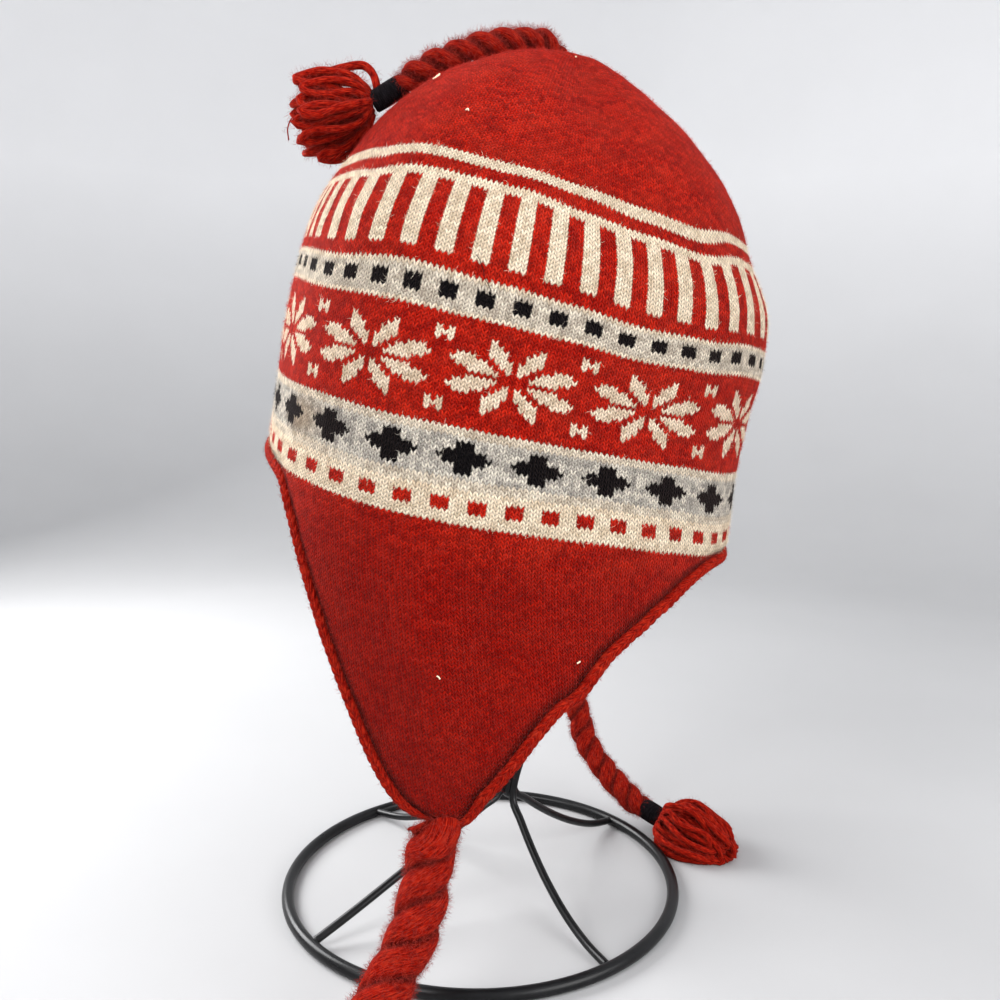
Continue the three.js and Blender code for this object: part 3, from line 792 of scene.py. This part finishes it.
def knit_material():
    material, n, shader = shaded("felted knit", 0.95, WOOL_GLOSS, 0.05, (1, 0.62, 0.55, 1), 0.25)
    colour, stitch, wool = felt_colour(n, uv_places(n, "stitches"))
    # Painted shade: darker between the stitches' legs and in the holes between stitches
    gap_shade = n.times(n.level(stitch["Leg"], 0.05, 0.7, 0.6, 1.04), n.level(stitch["Hole shade"], 0, 1, 1, 0.35))
    # Painted shade along the groove between the felt and the rolled edge, darkest at the rim
    rim = n.split(uv_places(n, "rim"))[1]
    rim_groove_shade = n.level(rim, 0.8 * MM, 3.6 * MM, 0.35, 1.0)
    # All the painted shade together, times a random tone a stitch, darkens the felt's colour
    shade = n.times(n.times(gap_shade, rim_groove_shade), n.level(stitch["Chance"], 0, 1, 0.9, 1.1))
    grey = n.join(shade, shade, shade)
    n.feed(shader.inputs["Base Color"], n.mix(1.0, colour, grey, "MULTIPLY"))
    height = n.plus(n.times(stitch["Leg"], 0.85), n.times(wool["Fibre"], 0.5))
    bumped(n, shader, height, 1.1 * MM)
    return material


def fuzz_material(name, colour_of):
    """Loose fibres: the colour of the wool under them, a little paler."""
    material, n, shader = shaded(name, 0.9, WOOL_GLOSS, 0.03, (1, 0.8, 0.75, 1), 0.4)
    n.feed(shader.inputs["Base Color"], n.mix(0.025, colour_of(n), srgb(255, 225, 215)))
    return material


def yarn_colour(n, light, middle, dark):
    """Wool yarn: fibres that lie along it in three tones."""
    wool = n.group(WOOL, Places=uv_places(n, "yarn"), Fibre_scale=2300, Stretch=0.16, Cloud_scale=300)
    colour = n.mix(n.level(wool["Fibre"], 0.36, 0.54), dark, middle)
    colour = n.mix(n.level(wool["Fibre"], 0.52, 0.72, 0.0, 0.8), colour, light)
    colour = n.mix(n.level(wool["Cloud"], 0.55, 0.8, 0.0, 0.5), colour, light)
    return colour, wool


def yarn_material(name, light, middle, dark, depth, laid=False):
    """Yarn with fibres that stand out. Laid yarn gets painted shade, near black, where two strands meet."""
    material, n, shader = shaded(name, 0.95, WOOL_GLOSS, 0.03, (1, 0.6, 0.5, 1), 0.4)
    colour, wool = yarn_colour(n, light, middle, dark)
    if laid:
        # Painted shade in the groove between the cord's two strands
        outward = n.split(uv_places(n, "hollow"))[1]
        colour = n.mix(n.level(outward, -0.35, 0.3, 0.75, 0.0), colour, (0.02, 0.001, 0.0005, 1))
    n.feed(shader.inputs["Base Color"], colour)
    bumped(n, shader, wool["Fibre"], depth)
    return material


def wire_material():
    """Black paint, semi-gloss and a little worn."""
    material, n, shader = shaded("black wire", 0.34, 0.2)
    shader.inputs["Coat Weight"].default_value = 0.06
    shader.inputs["Coat Roughness"].default_value = 0.3
    object_places = n.tree.nodes.new("ShaderNodeTexCoord").outputs["Object"]
    cloud, _ = n.noise(object_places, 60, 3)
    grain, _ = n.noise(object_places, 1800, 2)
    black, worn = (0.004, 0.004, 0.0045, 1), (0.009, 0.009, 0.01, 1)
    n.feed(shader.inputs["Base Color"], n.mix(n.level(cloud, 0.4, 0.7), black, worn))
    n.feed(shader.inputs["Roughness"], n.level(cloud, 0.3, 0.75, 0.27, 0.42))
    bumped(n, shader, grain, 0.04 * MM, 0.4)
    return material


ORANGE = (srgb(190, 54, 30), srgb(148, 20, 7), srgb(86, 4, 2))
felted_knit = knit_material()
orange_yarn = yarn_material("orange red yarn", *ORANGE, 0.5 * MM)
groove_shaded_yarn = yarn_material("red yarn with painted groove shade", *ORANGE, 0.5 * MM, laid=True)
black_thread = yarn_material("black thread", srgb(44, 40, 44), srgb(20, 18, 21), srgb(8, 7, 9), 0.2 * MM)
pale_lint = yarn_material("pale lint", srgb(255, 244, 226), srgb(250, 232, 205), srgb(222, 196, 160), 0.1 * MM)
black_wire = wire_material()
pale_fuzz = fuzz_material("knit fuzz", lambda n: felt_colour(n, uv_places(n, "stitches"))[0])
yarn_fuzz = fuzz_material("yarn fuzz", lambda n: yarn_colour(n, *ORANGE)[0])


# Cords
def twisted_cord(name, route, diameter, pitch, phase, start_share, start_run, root=(), plump=0.0, flat_start=1.0):
    """Two thick soft strands laid round each other along a route. Plump strands stand further apart.

    The cord grows from its start share to its full size over the start's run, and root is where it is sewn on.
    """
    declared = smooth_path(np.array(route) * MM, 120)
    path = smooth_path(np.array([*root, *route]) * MM, 150)
    way = unit(path[-1] - path[-4])
    path = np.vstack([path, path[-1] + way * 1.2 * MM, path[-1] + way * 2.4 * MM])
    run = run_along(path)
    size = np.interp(run, [0, start_run], [start_share, 1])
    size *= np.sqrt(np.clip(1 - (1 - np.minimum(run / ROUND_START, 1)) ** 2, 0.05, 1))
    size *= diameter * np.interp(run, [run[-1] - WRAP_TAPER, run[-1]], [1, WRAP_SHARE * 0.95])
    pressed = np.interp(run, [0, start_run], [flat_start, 1])[:, None]
    along, side, rise = frames_along(path)
    apart, across_share, up_share = 0.13 + 0.08 * plump, 0.37 - 0.08 * plump, 0.42 - 0.09 * plump
    sides = 22
    angles = TURN * np.arange(sides) / sides
    shape = Shape()
    for strand in (0, math.pi):
        a = phase + strand + TURN * run / pitch
        away = np.cos(a)[:, None] * side + np.sin(a)[:, None] * rise
        beside = np.cross(along, away)
        middle = path + away * (apart * size)[:, None]
        wobble = 1 + 0.035 * np.sin(run / (2.3 * MM) + strand) + 0.03 * np.sin(run / (4.7 * MM) + 2.1 * strand + 1)
        plies = 1 + 0.03 * np.cos(5 * angles[None, :] + run[:, None] / (1.1 * MM))
        thick = (size * wobble)[:, None, None]
        across = across_share * thick * (plies * np.cos(angles))[:, :, None] * away[:, None]
        up = up_share * thick * (plies * np.sin(angles))[:, :, None] * beside[:, None]
        rings = middle[:, None] + across + up
        rings[:, :, 1] = path[:, None, 1] + (rings[:, :, 1] - path[:, None, 1]) * pressed
        rings[:, :, 2] = np.maximum(rings[:, :, 2], 0.1 * MM)
        shape.add_rings(rings, run, TURN * 0.33 * diameter / sides, YARN_SLANT, hollow=True)
    return shape.piece(name, groove_shaded_yarn, "red_yarn"), declared


def thread_wrap(name, start, way, diameter, length):
    """Black thread wound round the cord's end, over a barrel."""
    turns = round(length / (0.92 * WRAP_THREAD))
    steps = turns * 20
    share = np.linspace(0, 1, steps)
    radius = diameter / 2 - WRAP_THREAD / 2
    bulge = radius * (0.9 + 0.1 * np.sin(math.pi * share) ** 0.5)
    side = unit(np.cross(way, (0.1, 0.2, 1.0)))
    rise = np.cross(way, side)
    a = TURN * turns * share
    run = (WRAP_THREAD / 2 + share * (length - WRAP_THREAD))[:, None]
    path = start + way * run + bulge[:, None] * (np.cos(a)[:, None] * side + np.sin(a)[:, None] * rise)
    shape = Shape()
    shape.add_tube(path, WRAP_THREAD / 2 * 1.08, 5)
    barrel = start + way * (np.linspace(0.02, 0.98, 8) * length)[:, None]
    shape.add_tube(barrel, radius * 0.9, 14)
    return shape.piece(name, black_thread, "black_yarn")


# How far out the yarns of a tassel lie, along it: of one that hangs open, and of one that is a loose ball
OPEN_TASSEL = (0.3, 0.78, 0.95, 1.0, 0.95, 0.86, 0.72, 0.3)
ROUND_TASSEL = (0.25, 0.86, 1.02, 0.82, 0.5, 0.48, 0.62, 0.25)


def tassel(name, start, way, seed, length, width, count, yarn, profile, curl, sag=0.0, extra=()):
    """Thick yarn folded over and tied: each strand runs out, turns round in a loop and comes back."""
    stations = (0.02, 0.2, 0.5, 0.84, 1.0, 0.86, 0.5, 0.12)
    sideways = (0, 0, -0.2, -0.5, 0.2, 0.9, 0.8, 0.3)
    chance = np.random.default_rng(seed)
    side = unit(np.cross((0, 0, 1.0), way))
    rise = np.cross(way, side)
    shape = Shape()
    for i in range(count):
        turn = i * GOLDEN_TURN + chance.uniform(-0.25, 0.25)
        ring = math.sqrt((i + 0.35) / count)
        out = width / 2 * ring
        reach = length * chance.uniform(0.8, 1.0) * (1 - 0.12 * ring**2)
        away = math.cos(turn) * side + math.sin(turn) * rise
        across = unit(np.cross(way, away)) * (1 if i % 2 else -1)
        loop = yarn * chance.uniform(0.7, 1.2)
        points = np.array(
            [
                start + way * reach * at + away * out * spread + across * loop * shift
                for at, spread, shift in zip(stations, profile, sideways)
            ]
        )
        points[1:-1] += curl * yarn * chance.normal(size=(len(points) - 2, 3))
        points[:, 2] -= np.linspace(0, 1, len(points)) ** 0.5 * sag * ring
        thick = yarn / 2 * chance.uniform(0.85, 1.12)
        path = smooth_path(points, 30)
        path[:, 2] = np.maximum(path[:, 2], thick * 1.05)
        swell = thick * (1 + 0.09 * np.sin(np.arange(30) * 0.9 + i))
        shape.add_tube(path, swell, 9, turn=chance.uniform(0, 1))
    for points, thick in extra:
        path = smooth_path(np.array(points) * MM, 30)
        shape.add_tube(path, thick * MM / 2, 8)
    return shape.piece(name, orange_yarn, "red_yarn")


def tied_end(node, cord, path, diameter, wrap_length, seed, tassel_way=None, lay="hanging", **yarns):
    """The wrap and the tassel at a cord's end, in place of the frame's cord, wrap and tassel solids; it gives back
    the tassel.
    """
    way = unit(path[-1] - path[-4])
    wrap_start = path[-1] + way * TOUCH
    wrap = thread_wrap(f"{node}_thread", wrap_start, way, WRAP_SHARE * diameter * 1.04, wrap_length)
    tassel_start = wrap_start + way * (wrap_length + TOUCH)
    ends = tassel(f"{node}_yarns", tassel_start, way if tassel_way is None else tassel_way, seed, **yarns)
    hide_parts(node)
    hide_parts(f"{node}_wrap")
    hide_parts(f"{node}_tassel")
    return ends


near_tie, near_path = twisted_cord(
    "near_tie_cord", NEAR_TIE_ROUTE, NEAR_TIE_FULL, pitch=26 * MM, phase=0.6, start_share=1.08, start_run=9 * MM,
    root=[(-25.1, -79.6, 67.6)], flat_start=0.42,
)
far_tie, far_path = twisted_cord(
    "far_tie_cord", FAR_TIE_ROUTE, FAR_TIE_FULL, pitch=20 * MM, phase=0.2, start_share=1.0, start_run=6 * MM,
    root=[(35.2, 77.6, 68.4)],
)
top_cord, top_path = twisted_cord(
    "crown_cord", TOP_CORD_ROUTE, TOP_CORD_FULL, pitch=17 * MM, phase=1.0, start_share=0.3, start_run=11 * MM,
    plump=0.9,
)

# Yarns of the crown's tassel that have come away from it: points and thickness in millimetres
TOP_TASSEL_WAY = unit(np.array([-0.98, -0.04, -0.14]))
TOP_LOOPS = [
    ([(-47.5, -18, 313), (-49.5, -17, 320), (-53, -16, 323.2), (-60, -16, 322.5), (-68, -16.5, 320)], 3.0),
    ([(-49.5, -18, 311), (-53, -17, 316), (-59, -16.5, 318.8), (-66, -17, 319.6), (-70.5, -17.5, 320.6)], 2.9),
    ([(-58, -19, 296), (-62, -20, 291), (-65.5, -20, 289.4), (-67, -20, 291.5), (-64.5, -20, 293.8),
      (-60, -19.5, 293)], 2.2),
    ([(-74, -18, 303), (-78.5, -18, 304.5), (-80.5, -18, 301), (-80.2, -18.5, 296.5)], 0.5),
]
tassels = [
    tied_end(
        "near_tie", near_tie, near_path, NEAR_TIE, WRAP_LENGTH, 11,
        length=38 * MM, width=30 * MM, count=24, yarn=3.3 * MM, profile=OPEN_TASSEL, curl=0.1,
    ),
    tied_end(
        "far_tie", far_tie, far_path, FAR_TIE, WRAP_LENGTH, 12,
        length=38 * MM, width=33 * MM, count=74, yarn=2.6 * MM, profile=ROUND_TASSEL, curl=0.4,
    ),
    tied_end(
        "top_cord", top_cord, top_path, TOP_CORD, TOP_WRAP_LENGTH, 13, TOP_TASSEL_WAY, "loose",
        length=29 * MM, width=31 * MM, count=26, yarn=2.8 * MM, profile=OPEN_TASSEL, curl=0.12,
        sag=4 * MM, extra=TOP_LOOPS,
    ),
]


# Places of the hat's rings from the flap's edge to the top, 56 on the flap and 101 on the crown
PLACES_UP = np.concatenate([np.linspace(-10, 0, 57)[:-1], np.linspace(0, TOP_PLACE, 101)])


def ripple(point):
    """Small unevenness of the felted knit."""
    p = Vector(point) / RIPPLE_SIZE
    return noise.noise(p) * RIPPLES[0] + noise.noise(p * 3.1) * RIPPLES[1]


def rim_distance(corners):
    """How far each corner lies from the hat's lower rim."""
    rim = hat_point(np.linspace(-math.pi, math.pi, 900), -10.0)
    squared = (corners**2).sum(axis=1)[:, None] + (rim**2).sum(axis=1)[None] - 2 * corners @ rim.T
    return np.sqrt(np.maximum(squared.min(axis=1), 0))


def knit_shell():
    """The hat: a grid of one column a stitch, wrapped round the hat's face, closed and given its wall."""
    bpy.ops.object.select_all(action="DESELECT")
    up = len(PLACES_UP) - 1
    bpy.ops.mesh.primitive_grid_add(x_subdivisions=STITCHES, y_subdivisions=up, size=1, calc_uvs=True)
    shell = bpy.context.object
    shell.name = "knit_shell"
    mesh = shell.data
    flat = read(mesh.vertices, "co", 3)
    column = np.rint((flat[:, 0] + 0.5) * STITCHES).astype(int)
    ring = np.rint((flat[:, 1] + 0.5) * up).astype(int)
    angle = angle_of(STITCH_AT[0] + column)
    place = PLACES_UP[ring]
    corners = hat_point(angle, place)
    rows = rows_of(angle, place)
    normals = normal_at(angle, place)
    lift = np.array([ripple(p) for p in corners])
    fade = np.clip((TOP_PLACE - place) / 0.5, 0, 1)
    bars = np.clip(1 - np.abs(rows - BAR_ROW) / (BAR_HALF_HEIGHT + 1), 0, 1)
    rib = RIB * np.cos(TURN * (column + STITCH_AT[0] - 1.5) / SQUARE_PERIOD) * np.minimum(bars * 3, 1)
    from_rim = np.full(len(corners), 50 * MM)
    from_rim[place < 0] = rim_distance(corners[place < 0])
    groove = GROOVE_DEPTH * np.exp(-((from_rim / GROOVE_WIDTH) ** 2))
    corners = corners + normals * ((lift + rib) * fade - groove)[:, None]
    mesh.vertices.foreach_set("co", corners.ravel())
    # Places of the pattern: stitches round and rows up, with fewer stitches a round towards the top
    counts = np.array([round_count(i) for i in range(up)])
    quads = read(mesh.loops, "vertex_index", 1, int).reshape(-1, 4)
    face_ring = ring[quads].min(axis=1)
    share = (column[quads] + STITCH_AT[0]) / STITCHES
    u = share * counts[face_ring][:, None]
    v = rows[quads]
    layer = mesh.uv_layers[0]
    layer.name = "stitches"
    layer.data.foreach_set("uv", np.stack([u, v], axis=-1).ravel())
    # The rim layer holds each corner's distance from the rim, which sets the painted shade of the rim's groove
    lay_uv(mesh, "rim", np.stack([u * STITCH, from_rim[quads]], axis=-1))
    bpy.ops.object.mode_set(mode="EDIT")
    bpy.ops.mesh.select_all(action="SELECT")
    bpy.ops.mesh.remove_doubles(threshold=1e-6)
    bpy.ops.mesh.normals_make_consistent(inside=False)
    bpy.ops.object.mode_set(mode="OBJECT")
    wall = shell.modifiers.new("wall", "SOLIDIFY")
    wall.thickness = KNIT
    wall.offset = -1
    bpy.ops.object.modifier_apply(modifier="wall")
    bpy.ops.object.shade_smooth()
    mesh.materials.append(felted_knit)
    return on_root(shell, "hat_body")


def round_count(i):
    """Stitches in one round: all of them in the bands, then fewer as the crown closes."""
    if PLACES_UP[i] < BANDS_TOP + 0.4:
        return STITCHES
    girth = length_of(plain_point(np.linspace(-math.pi, math.pi, 73), PLACES_UP[i]))
    return max(12, 12 * round(girth / STITCH / 12))


knit = knit_shell()


def edge_line(angles):
    """Middle line of the rolled edge along the hat's lower rim, with its outward directions."""
    step = 0.02
    middle = hat_point(angles, -10.0, KNIT / 2)
    along = unit(hat_point(angles + step, -10.0, KNIT / 2) - hat_point(angles - step, -10.0, KNIT / 2))
    normal = normal_at(angles, np.full_like(angles, -10.0))
    out = unit(np.cross(along, normal))
    out *= np.where(out[:, 2] > 0, -1, 1)[:, None]
    slim = 1 - 0.6 * np.exp(-((wrapped(angles - NEAR_TIP) / TIP_WIDTH) ** 2))
    return middle + out * (EDGE_WIRE / 2 * slim)[:, None], normal, slim


# Knit legs of the rolled edge: distance from one to the next, half their length, how far a leg's ends dip, and
# of the four that stand round the edge, where each is and how it slants
LEG_APART = 3.1 * MM
LEG_HALF_LENGTH = 2.9 * MM
LEG_DIP = 0.55 * MM
EDGE_LEGS = ((-0.8, 0.3), (0.2, -0.3), (1.2, 0.3), (2.3, -0.3))


def rolled_edge():
    """The edge: a soft core with slanted knit legs all along it, in two rows that meet as Vs."""
    angles = np.linspace(-math.pi, math.pi, 900)
    line, normal, slim = edge_line(angles)
    run = run_along(line)
    legs = int(run[-1] / LEG_APART)
    even = np.linspace(0, run[-1], legs * 2 + 1)[:-1]
    path = np.column_stack([np.interp(even, run, line[:, k]) for k in range(3)])
    out = unit(np.column_stack([np.interp(even, run, normal[:, k]) for k in range(3)]))
    slim = np.interp(even, run, slim)
    shape = Shape()
    core = path[::2]
    shape.add_tube(core, EDGE_WIRE / 2 * 0.93 * slim[::2], 10, closed=True)
    ends = np.vstack([path[-1:], path, path[:1]])
    along = unit(ends[2:] - ends[:-2])
    across = unit(np.cross(along, out))
    ring = TURN * np.arange(6) / 6
    stations = np.linspace(-1, 1, 6)
    for i in range(0, len(path), 2):
        for k, (round_angle, slant) in enumerate(EDGE_LEGS):
            c = path[i] + along[i] * (k * 0.3 * MM)
            face = math.cos(round_angle) * out[i] + math.sin(round_angle) * across[i]
            beside = -math.sin(round_angle) * out[i] + math.cos(round_angle) * across[i]
            way = unit(math.cos(slant) * along[i] + math.sin(slant) * beside)
            wide = np.cross(face, way)
            middle = c + face * EDGE_WIRE / 2 * 0.76 * slim[i]
            spine = middle + way * (stations * LEG_HALF_LENGTH)[:, None] - face * (LEG_DIP * stations**2)[:, None]
            size = np.sqrt(np.maximum(1 - (stations * 0.97) ** 2, 0.01)) * slim[i] * MM
            rings = (
                spine[:, None]
                + size[:, None, None] * np.cos(ring)[None, :, None] * wide
                + size[:, None, None] * 0.8 * np.sin(ring)[None, :, None] * face
            )
            faces, places = [], []
            for a in range(len(stations) - 1):
                for b in range(6):
                    d = (b + 1) % 6
                    faces.append((a * 6 + b, (a + 1) * 6 + b, (a + 1) * 6 + d, a * 6 + d))
                    low, high = even[i] + a * MM, even[i] + (a + 1) * MM
                    places += [(b * MM, low), (b * MM, high), ((b + 1) * MM, high), ((b + 1) * MM, low)]
            shape.add(rings.reshape(-1, 3), faces, places)
    return shape.piece("rolled_edge", orange_yarn, "red_yarn", "edge_trim")


edge = rolled_edge()


# Stand
def foot_at(angle):
    """Where a leg stands on the base ring."""
    turn = math.radians(angle)
    return np.array([*(RING_AT + RING_RADIUS * np.array([math.cos(turn), math.sin(turn)])), RING_WIRE / 2])


def wire_paths():
    """Each wire from the ring over the neck and along the inside of the hat to its top."""
    paths = []
    for foot_angle, dip, dome in WIRES:
        foot = foot_at(foot_angle)
        points = []
        for share in LEG_SHARES:
            point = NECK_AT + (foot - NECK_AT) * share
            point[2] = foot[2] + (NECK_AT[2] - foot[2]) * (1 - share) ** dip
            points.append(point)
        room = KNIT + LEG_WIRE / 2 + TOUCH + WIRE_ROOM
        angle = math.radians(dome + 90)
        wall = hat_point(np.array([angle]), np.array([1.0]), room)[0]
        for out, up in SWELL:
            point = NECK_AT + (wall - NECK_AT) * out
            point[2] = NECK_AT[2] + (wall[2] - NECK_AT[2]) * up
            points.append(point)
        points += list(hat_point(np.full(len(INSIDE_PLACES), angle), INSIDE_PLACES, room))
        points.append(apex_point(room + TOUCH))
        paths.append(smooth_path(points, 150))
    return paths


def weld(at, radius, segments, rings, squeeze=1.0):
    bpy.ops.object.select_all(action="DESELECT")
    bpy.ops.mesh.primitive_uv_sphere_add(segments=segments, ring_count=rings, radius=radius, location=at)
    bpy.context.object.scale = (1, 1, squeeze)
    return bpy.context.object


def wire_stand():
    """The stand: a ring, four bent wires and their welds, joined as one piece."""
    bpy.ops.object.select_all(action="DESELECT")
    bpy.ops.mesh.primitive_torus_add(
        location=(*RING_AT, RING_WIRE / 2),
        major_radius=RING_RADIUS,
        minor_radius=RING_WIRE / 2,
        major_segments=160,
        minor_segments=18,
    )
    stand = bpy.context.object
    stand.name = "wire_frame"
    shape = Shape()
    for path in wire_paths():
        shape.add_tube(path, LEG_WIRE / 2, 14)
    parts = [stand, shape.piece("legs", black_wire, "black_wire")]
    parts.append(weld(NECK_AT, WELD, 20, 12, 1.5))
    parts.append(weld(apex_point(KNIT + TOP_WELD + 2 * TOUCH), TOP_WELD, 20, 12))
    parts += [weld(foot_at(foot_angle), RING_WIRE / 2 * 0.99, 16, 10) for foot_angle, _, _ in WIRES]
    bpy.ops.object.select_all(action="DESELECT")
    for part in parts:
        part.select_set(True)
    bpy.context.view_layer.objects.active = stand
    bpy.ops.object.transform_apply(location=True, rotation=True, scale=True)
    bpy.ops.object.join()
    bpy.ops.object.shade_smooth()
    stand.data.materials.clear()
    stand.data.materials.append(black_wire)
    on_root(stand, "wire_stand")


wire_stand()


# Loose fibres
def fuzz(name, source, count, length, seed, material, layer, width=0.085 * MM, outer=None, stand_up=0.55):
    """Short fine fibres that stand from a piece, each a narrow blade that bends and tapers."""
    chance = np.random.default_rng(seed)
    mesh = source.data
    mesh.calc_loop_triangles()
    loops = read(mesh.loop_triangles, "loops", 3, int)
    corners = read(mesh.vertices, "co", 3)[read(mesh.loop_triangles, "vertices", 3, int)]
    cross = np.cross(corners[:, 1] - corners[:, 0], corners[:, 2] - corners[:, 0])
    area = np.linalg.norm(cross, axis=1)
    weight = area * (outer(corners.mean(axis=1), cross) if outer else 1)
    chosen = chance.choice(len(area), count, p=weight / weight.sum())
    a, b = np.sqrt(chance.random(count)), chance.random(count)
    mix = np.stack([1 - a, a * (1 - b), a * b], axis=-1)[:, :, None]
    root = (corners[chosen] * mix).sum(axis=1)
    places = (read(mesh.uv_layers[layer].data, "uv", 2)[loops[chosen]] * mix).sum(axis=1)
    normal = unit(cross[chosen] + 1e-12)
    lean = unit(np.cross(normal, chance.normal(size=(count, 3))))
    rise = stand_up * chance.uniform(0.3, 1.3, count)[:, None]
    way = unit(normal * rise + lean)
    bend = unit(way + 0.45 * chance.normal(size=(count, 3)) + normal * 0.1)
    long = length * chance.uniform(0.45, 1.25, count)[:, None]
    side = unit(np.cross(way, normal + 0.3 * chance.normal(size=(count, 3)))) * (width / 2)
    middle = root + way * long * 0.5
    tip = middle + bend * long * 0.5
    points = np.stack([root, middle + side, middle - side, tip], axis=1).reshape(-1, 3)
    points[:, 2] = np.maximum(points[:, 2], 0)
    base = np.arange(count)[:, None] * 4
    blades = (base + np.array([0, 1, 2])).tolist() + (base + np.array([2, 1, 3])).tolist()
    made = mesh_of(name, points, blades, material, smooth=False)
    lay_uv(made, layer, np.tile(np.repeat(places, 3, axis=0), (2, 1)))
    on_root(placed(name, made))


def outside_of_hat(middles, cross):
    """Weights for the outer face alone: its faces look away from the hat's middle line."""
    axis = HAT_TURN @ np.array([0, 0, 1.0])
    rel = middles - HAT_AT
    away = rel - np.outer(rel @ axis, axis)
    high = rel @ axis > CROWN_HEIGHT * 0.9
    facing = (cross * away).sum(axis=1) > 0
    return np.where(facing | (high & (cross[:, 2] > 0)), 1.0, 0.0) + 1e-9


fuzz("knit_fuzz", knit, 90000, 1.9 * MM, 3, pale_fuzz, "stitches", 0.08 * MM, outside_of_hat)
fuzz("edge_fuzz", edge, 26000, 2.2 * MM, 4, yarn_fuzz, "yarn")
for i, piece in enumerate((near_tie, far_tie, top_cord, *tassels)):
    count = 34000 if piece is near_tie else 15000
    fuzz(f"{piece.name}_fuzz", piece, count, 2.9 * MM, 20 + i, yarn_fuzz, "yarn", stand_up=0.8)


# Specks of pale lint and one dark hair that cling to the felt: angle in degrees and place of each point
LINT = [
    [(-54.6, 6.82), (-53.9, 6.78), (-53.2, 6.7), (-52.6, 6.69)],
    [(-52.9, 6.78), (-53.0, 6.72), (-53.4, 6.66)],
    [(4.4, 8.47), (4.8, 8.46), (5.1, 8.49)],
    [(-6.7, -5.06), (-6.3, -5.1), (-6.1, -5.16)],
    [(17.3, -8.22), (17.5, -8.26), (17.8, -8.3)],
    [(-22.5, 5.9), (-22.1, 5.93), (-21.6, 5.9)],
]
CLINGS_OVER = 0.75 * MM
HAIR = [(-7.2, 3.68), (-6.3, 3.62), (-5.7, 3.54), (-5.0, 3.45), (-4.6, 3.36), (-3.6, 3.27), (-2.8, 3.18)]


def clinging(name, strands, thickness, material, slot):
    """Thin strands that lie on the felt."""
    shape = Shape()
    for points in strands:
        angle, place = np.array(points).T
        path = smooth_path(hat_point(np.radians(angle), place, -CLINGS_OVER), 12)
        shape.add_tube(path, thickness / 2, 6)
    shape.piece(name, material, slot)


clinging("lint_specks", LINT, 0.5 * MM, pale_lint, "red_knit")
clinging("dark_hair", [HAIR], 0.22 * MM, black_thread, "black_yarn")


# Floor, backdrop and light
FLOOR_RADIUS = 0.7
BOWL_RADIUS = 0.8
WALL_TOP = 2.2


def studio():
    """A round floor that bends up into a wall, of plain pale paper."""
    profile = [(0.0, 0.0), (FLOOR_RADIUS, 0.0)]
    for a in np.linspace(0.1, math.pi / 2, 14):
        profile.append((FLOOR_RADIUS + BOWL_RADIUS * math.sin(a), BOWL_RADIUS * (1 - math.cos(a))))
    profile.append((FLOOR_RADIUS + BOWL_RADIUS, WALL_TOP))
    sides = 96
    turns = TURN * np.arange(sides) / sides
    corners = [(r * math.cos(a), r * math.sin(a), height) for r, height in profile for a in turns]
    faces = []
    for i in range(len(profile) - 1):
        for k in range(sides):
            m = (k + 1) % sides
            faces.append((i * sides + k, (i + 1) * sides + k, (i + 1) * sides + m, i * sides + m))
    material, n, shader = shaded("pale paper", 0.9)
    places = n.tree.nodes.new("ShaderNodeTexCoord").outputs["Object"]
    cloud, _ = n.noise(places, 6, 3)
    floor = n.mix(cloud, srgb(168, 168, 169), srgb(176, 176, 177))
    wall = n.mix(cloud, srgb(230, 230, 231), srgb(236, 236, 237))
    n.feed(shader.inputs["Base Color"], n.mix(n.level(n.split(places)[2], 0.0, 0.6), floor, wall))
    placed("backdrop", mesh_of("backdrop", corners, faces, material))


def lamp(name, at, aim_height, size, power):
    """A round soft lamp that looks at a point over the floor's middle."""
    data = bpy.data.lights.new(name, "AREA")
    data.shape = "DISK"
    data.size = size
    data.energy = power
    light = placed(name, data)
    light.location = at
    light.rotation_euler = (Vector((0, 0, aim_height)) - Vector(at)).to_track_quat("-Z", "Y").to_euler()


studio()
lamp("window", (-0.55, -0.5, 0.72), 0.2, 0.55, 6)
lamp("fill", (0.6, -0.55, 0.45), 0.2, 0.7, 7)
lamp("rim", (-0.62, 0.35, 0.5), 0.25, 0.5, 10)
world = bpy.data.worlds.new("room")
world.use_nodes = True
sky = world.node_tree.nodes["Background"].inputs
sky["Color"].default_value = (0.95, 0.97, 1, 1)
sky["Strength"].default_value = 0.95
bpy.context.scene.world = world
bpy.context.scene.view_settings.view_transform = "Standard"
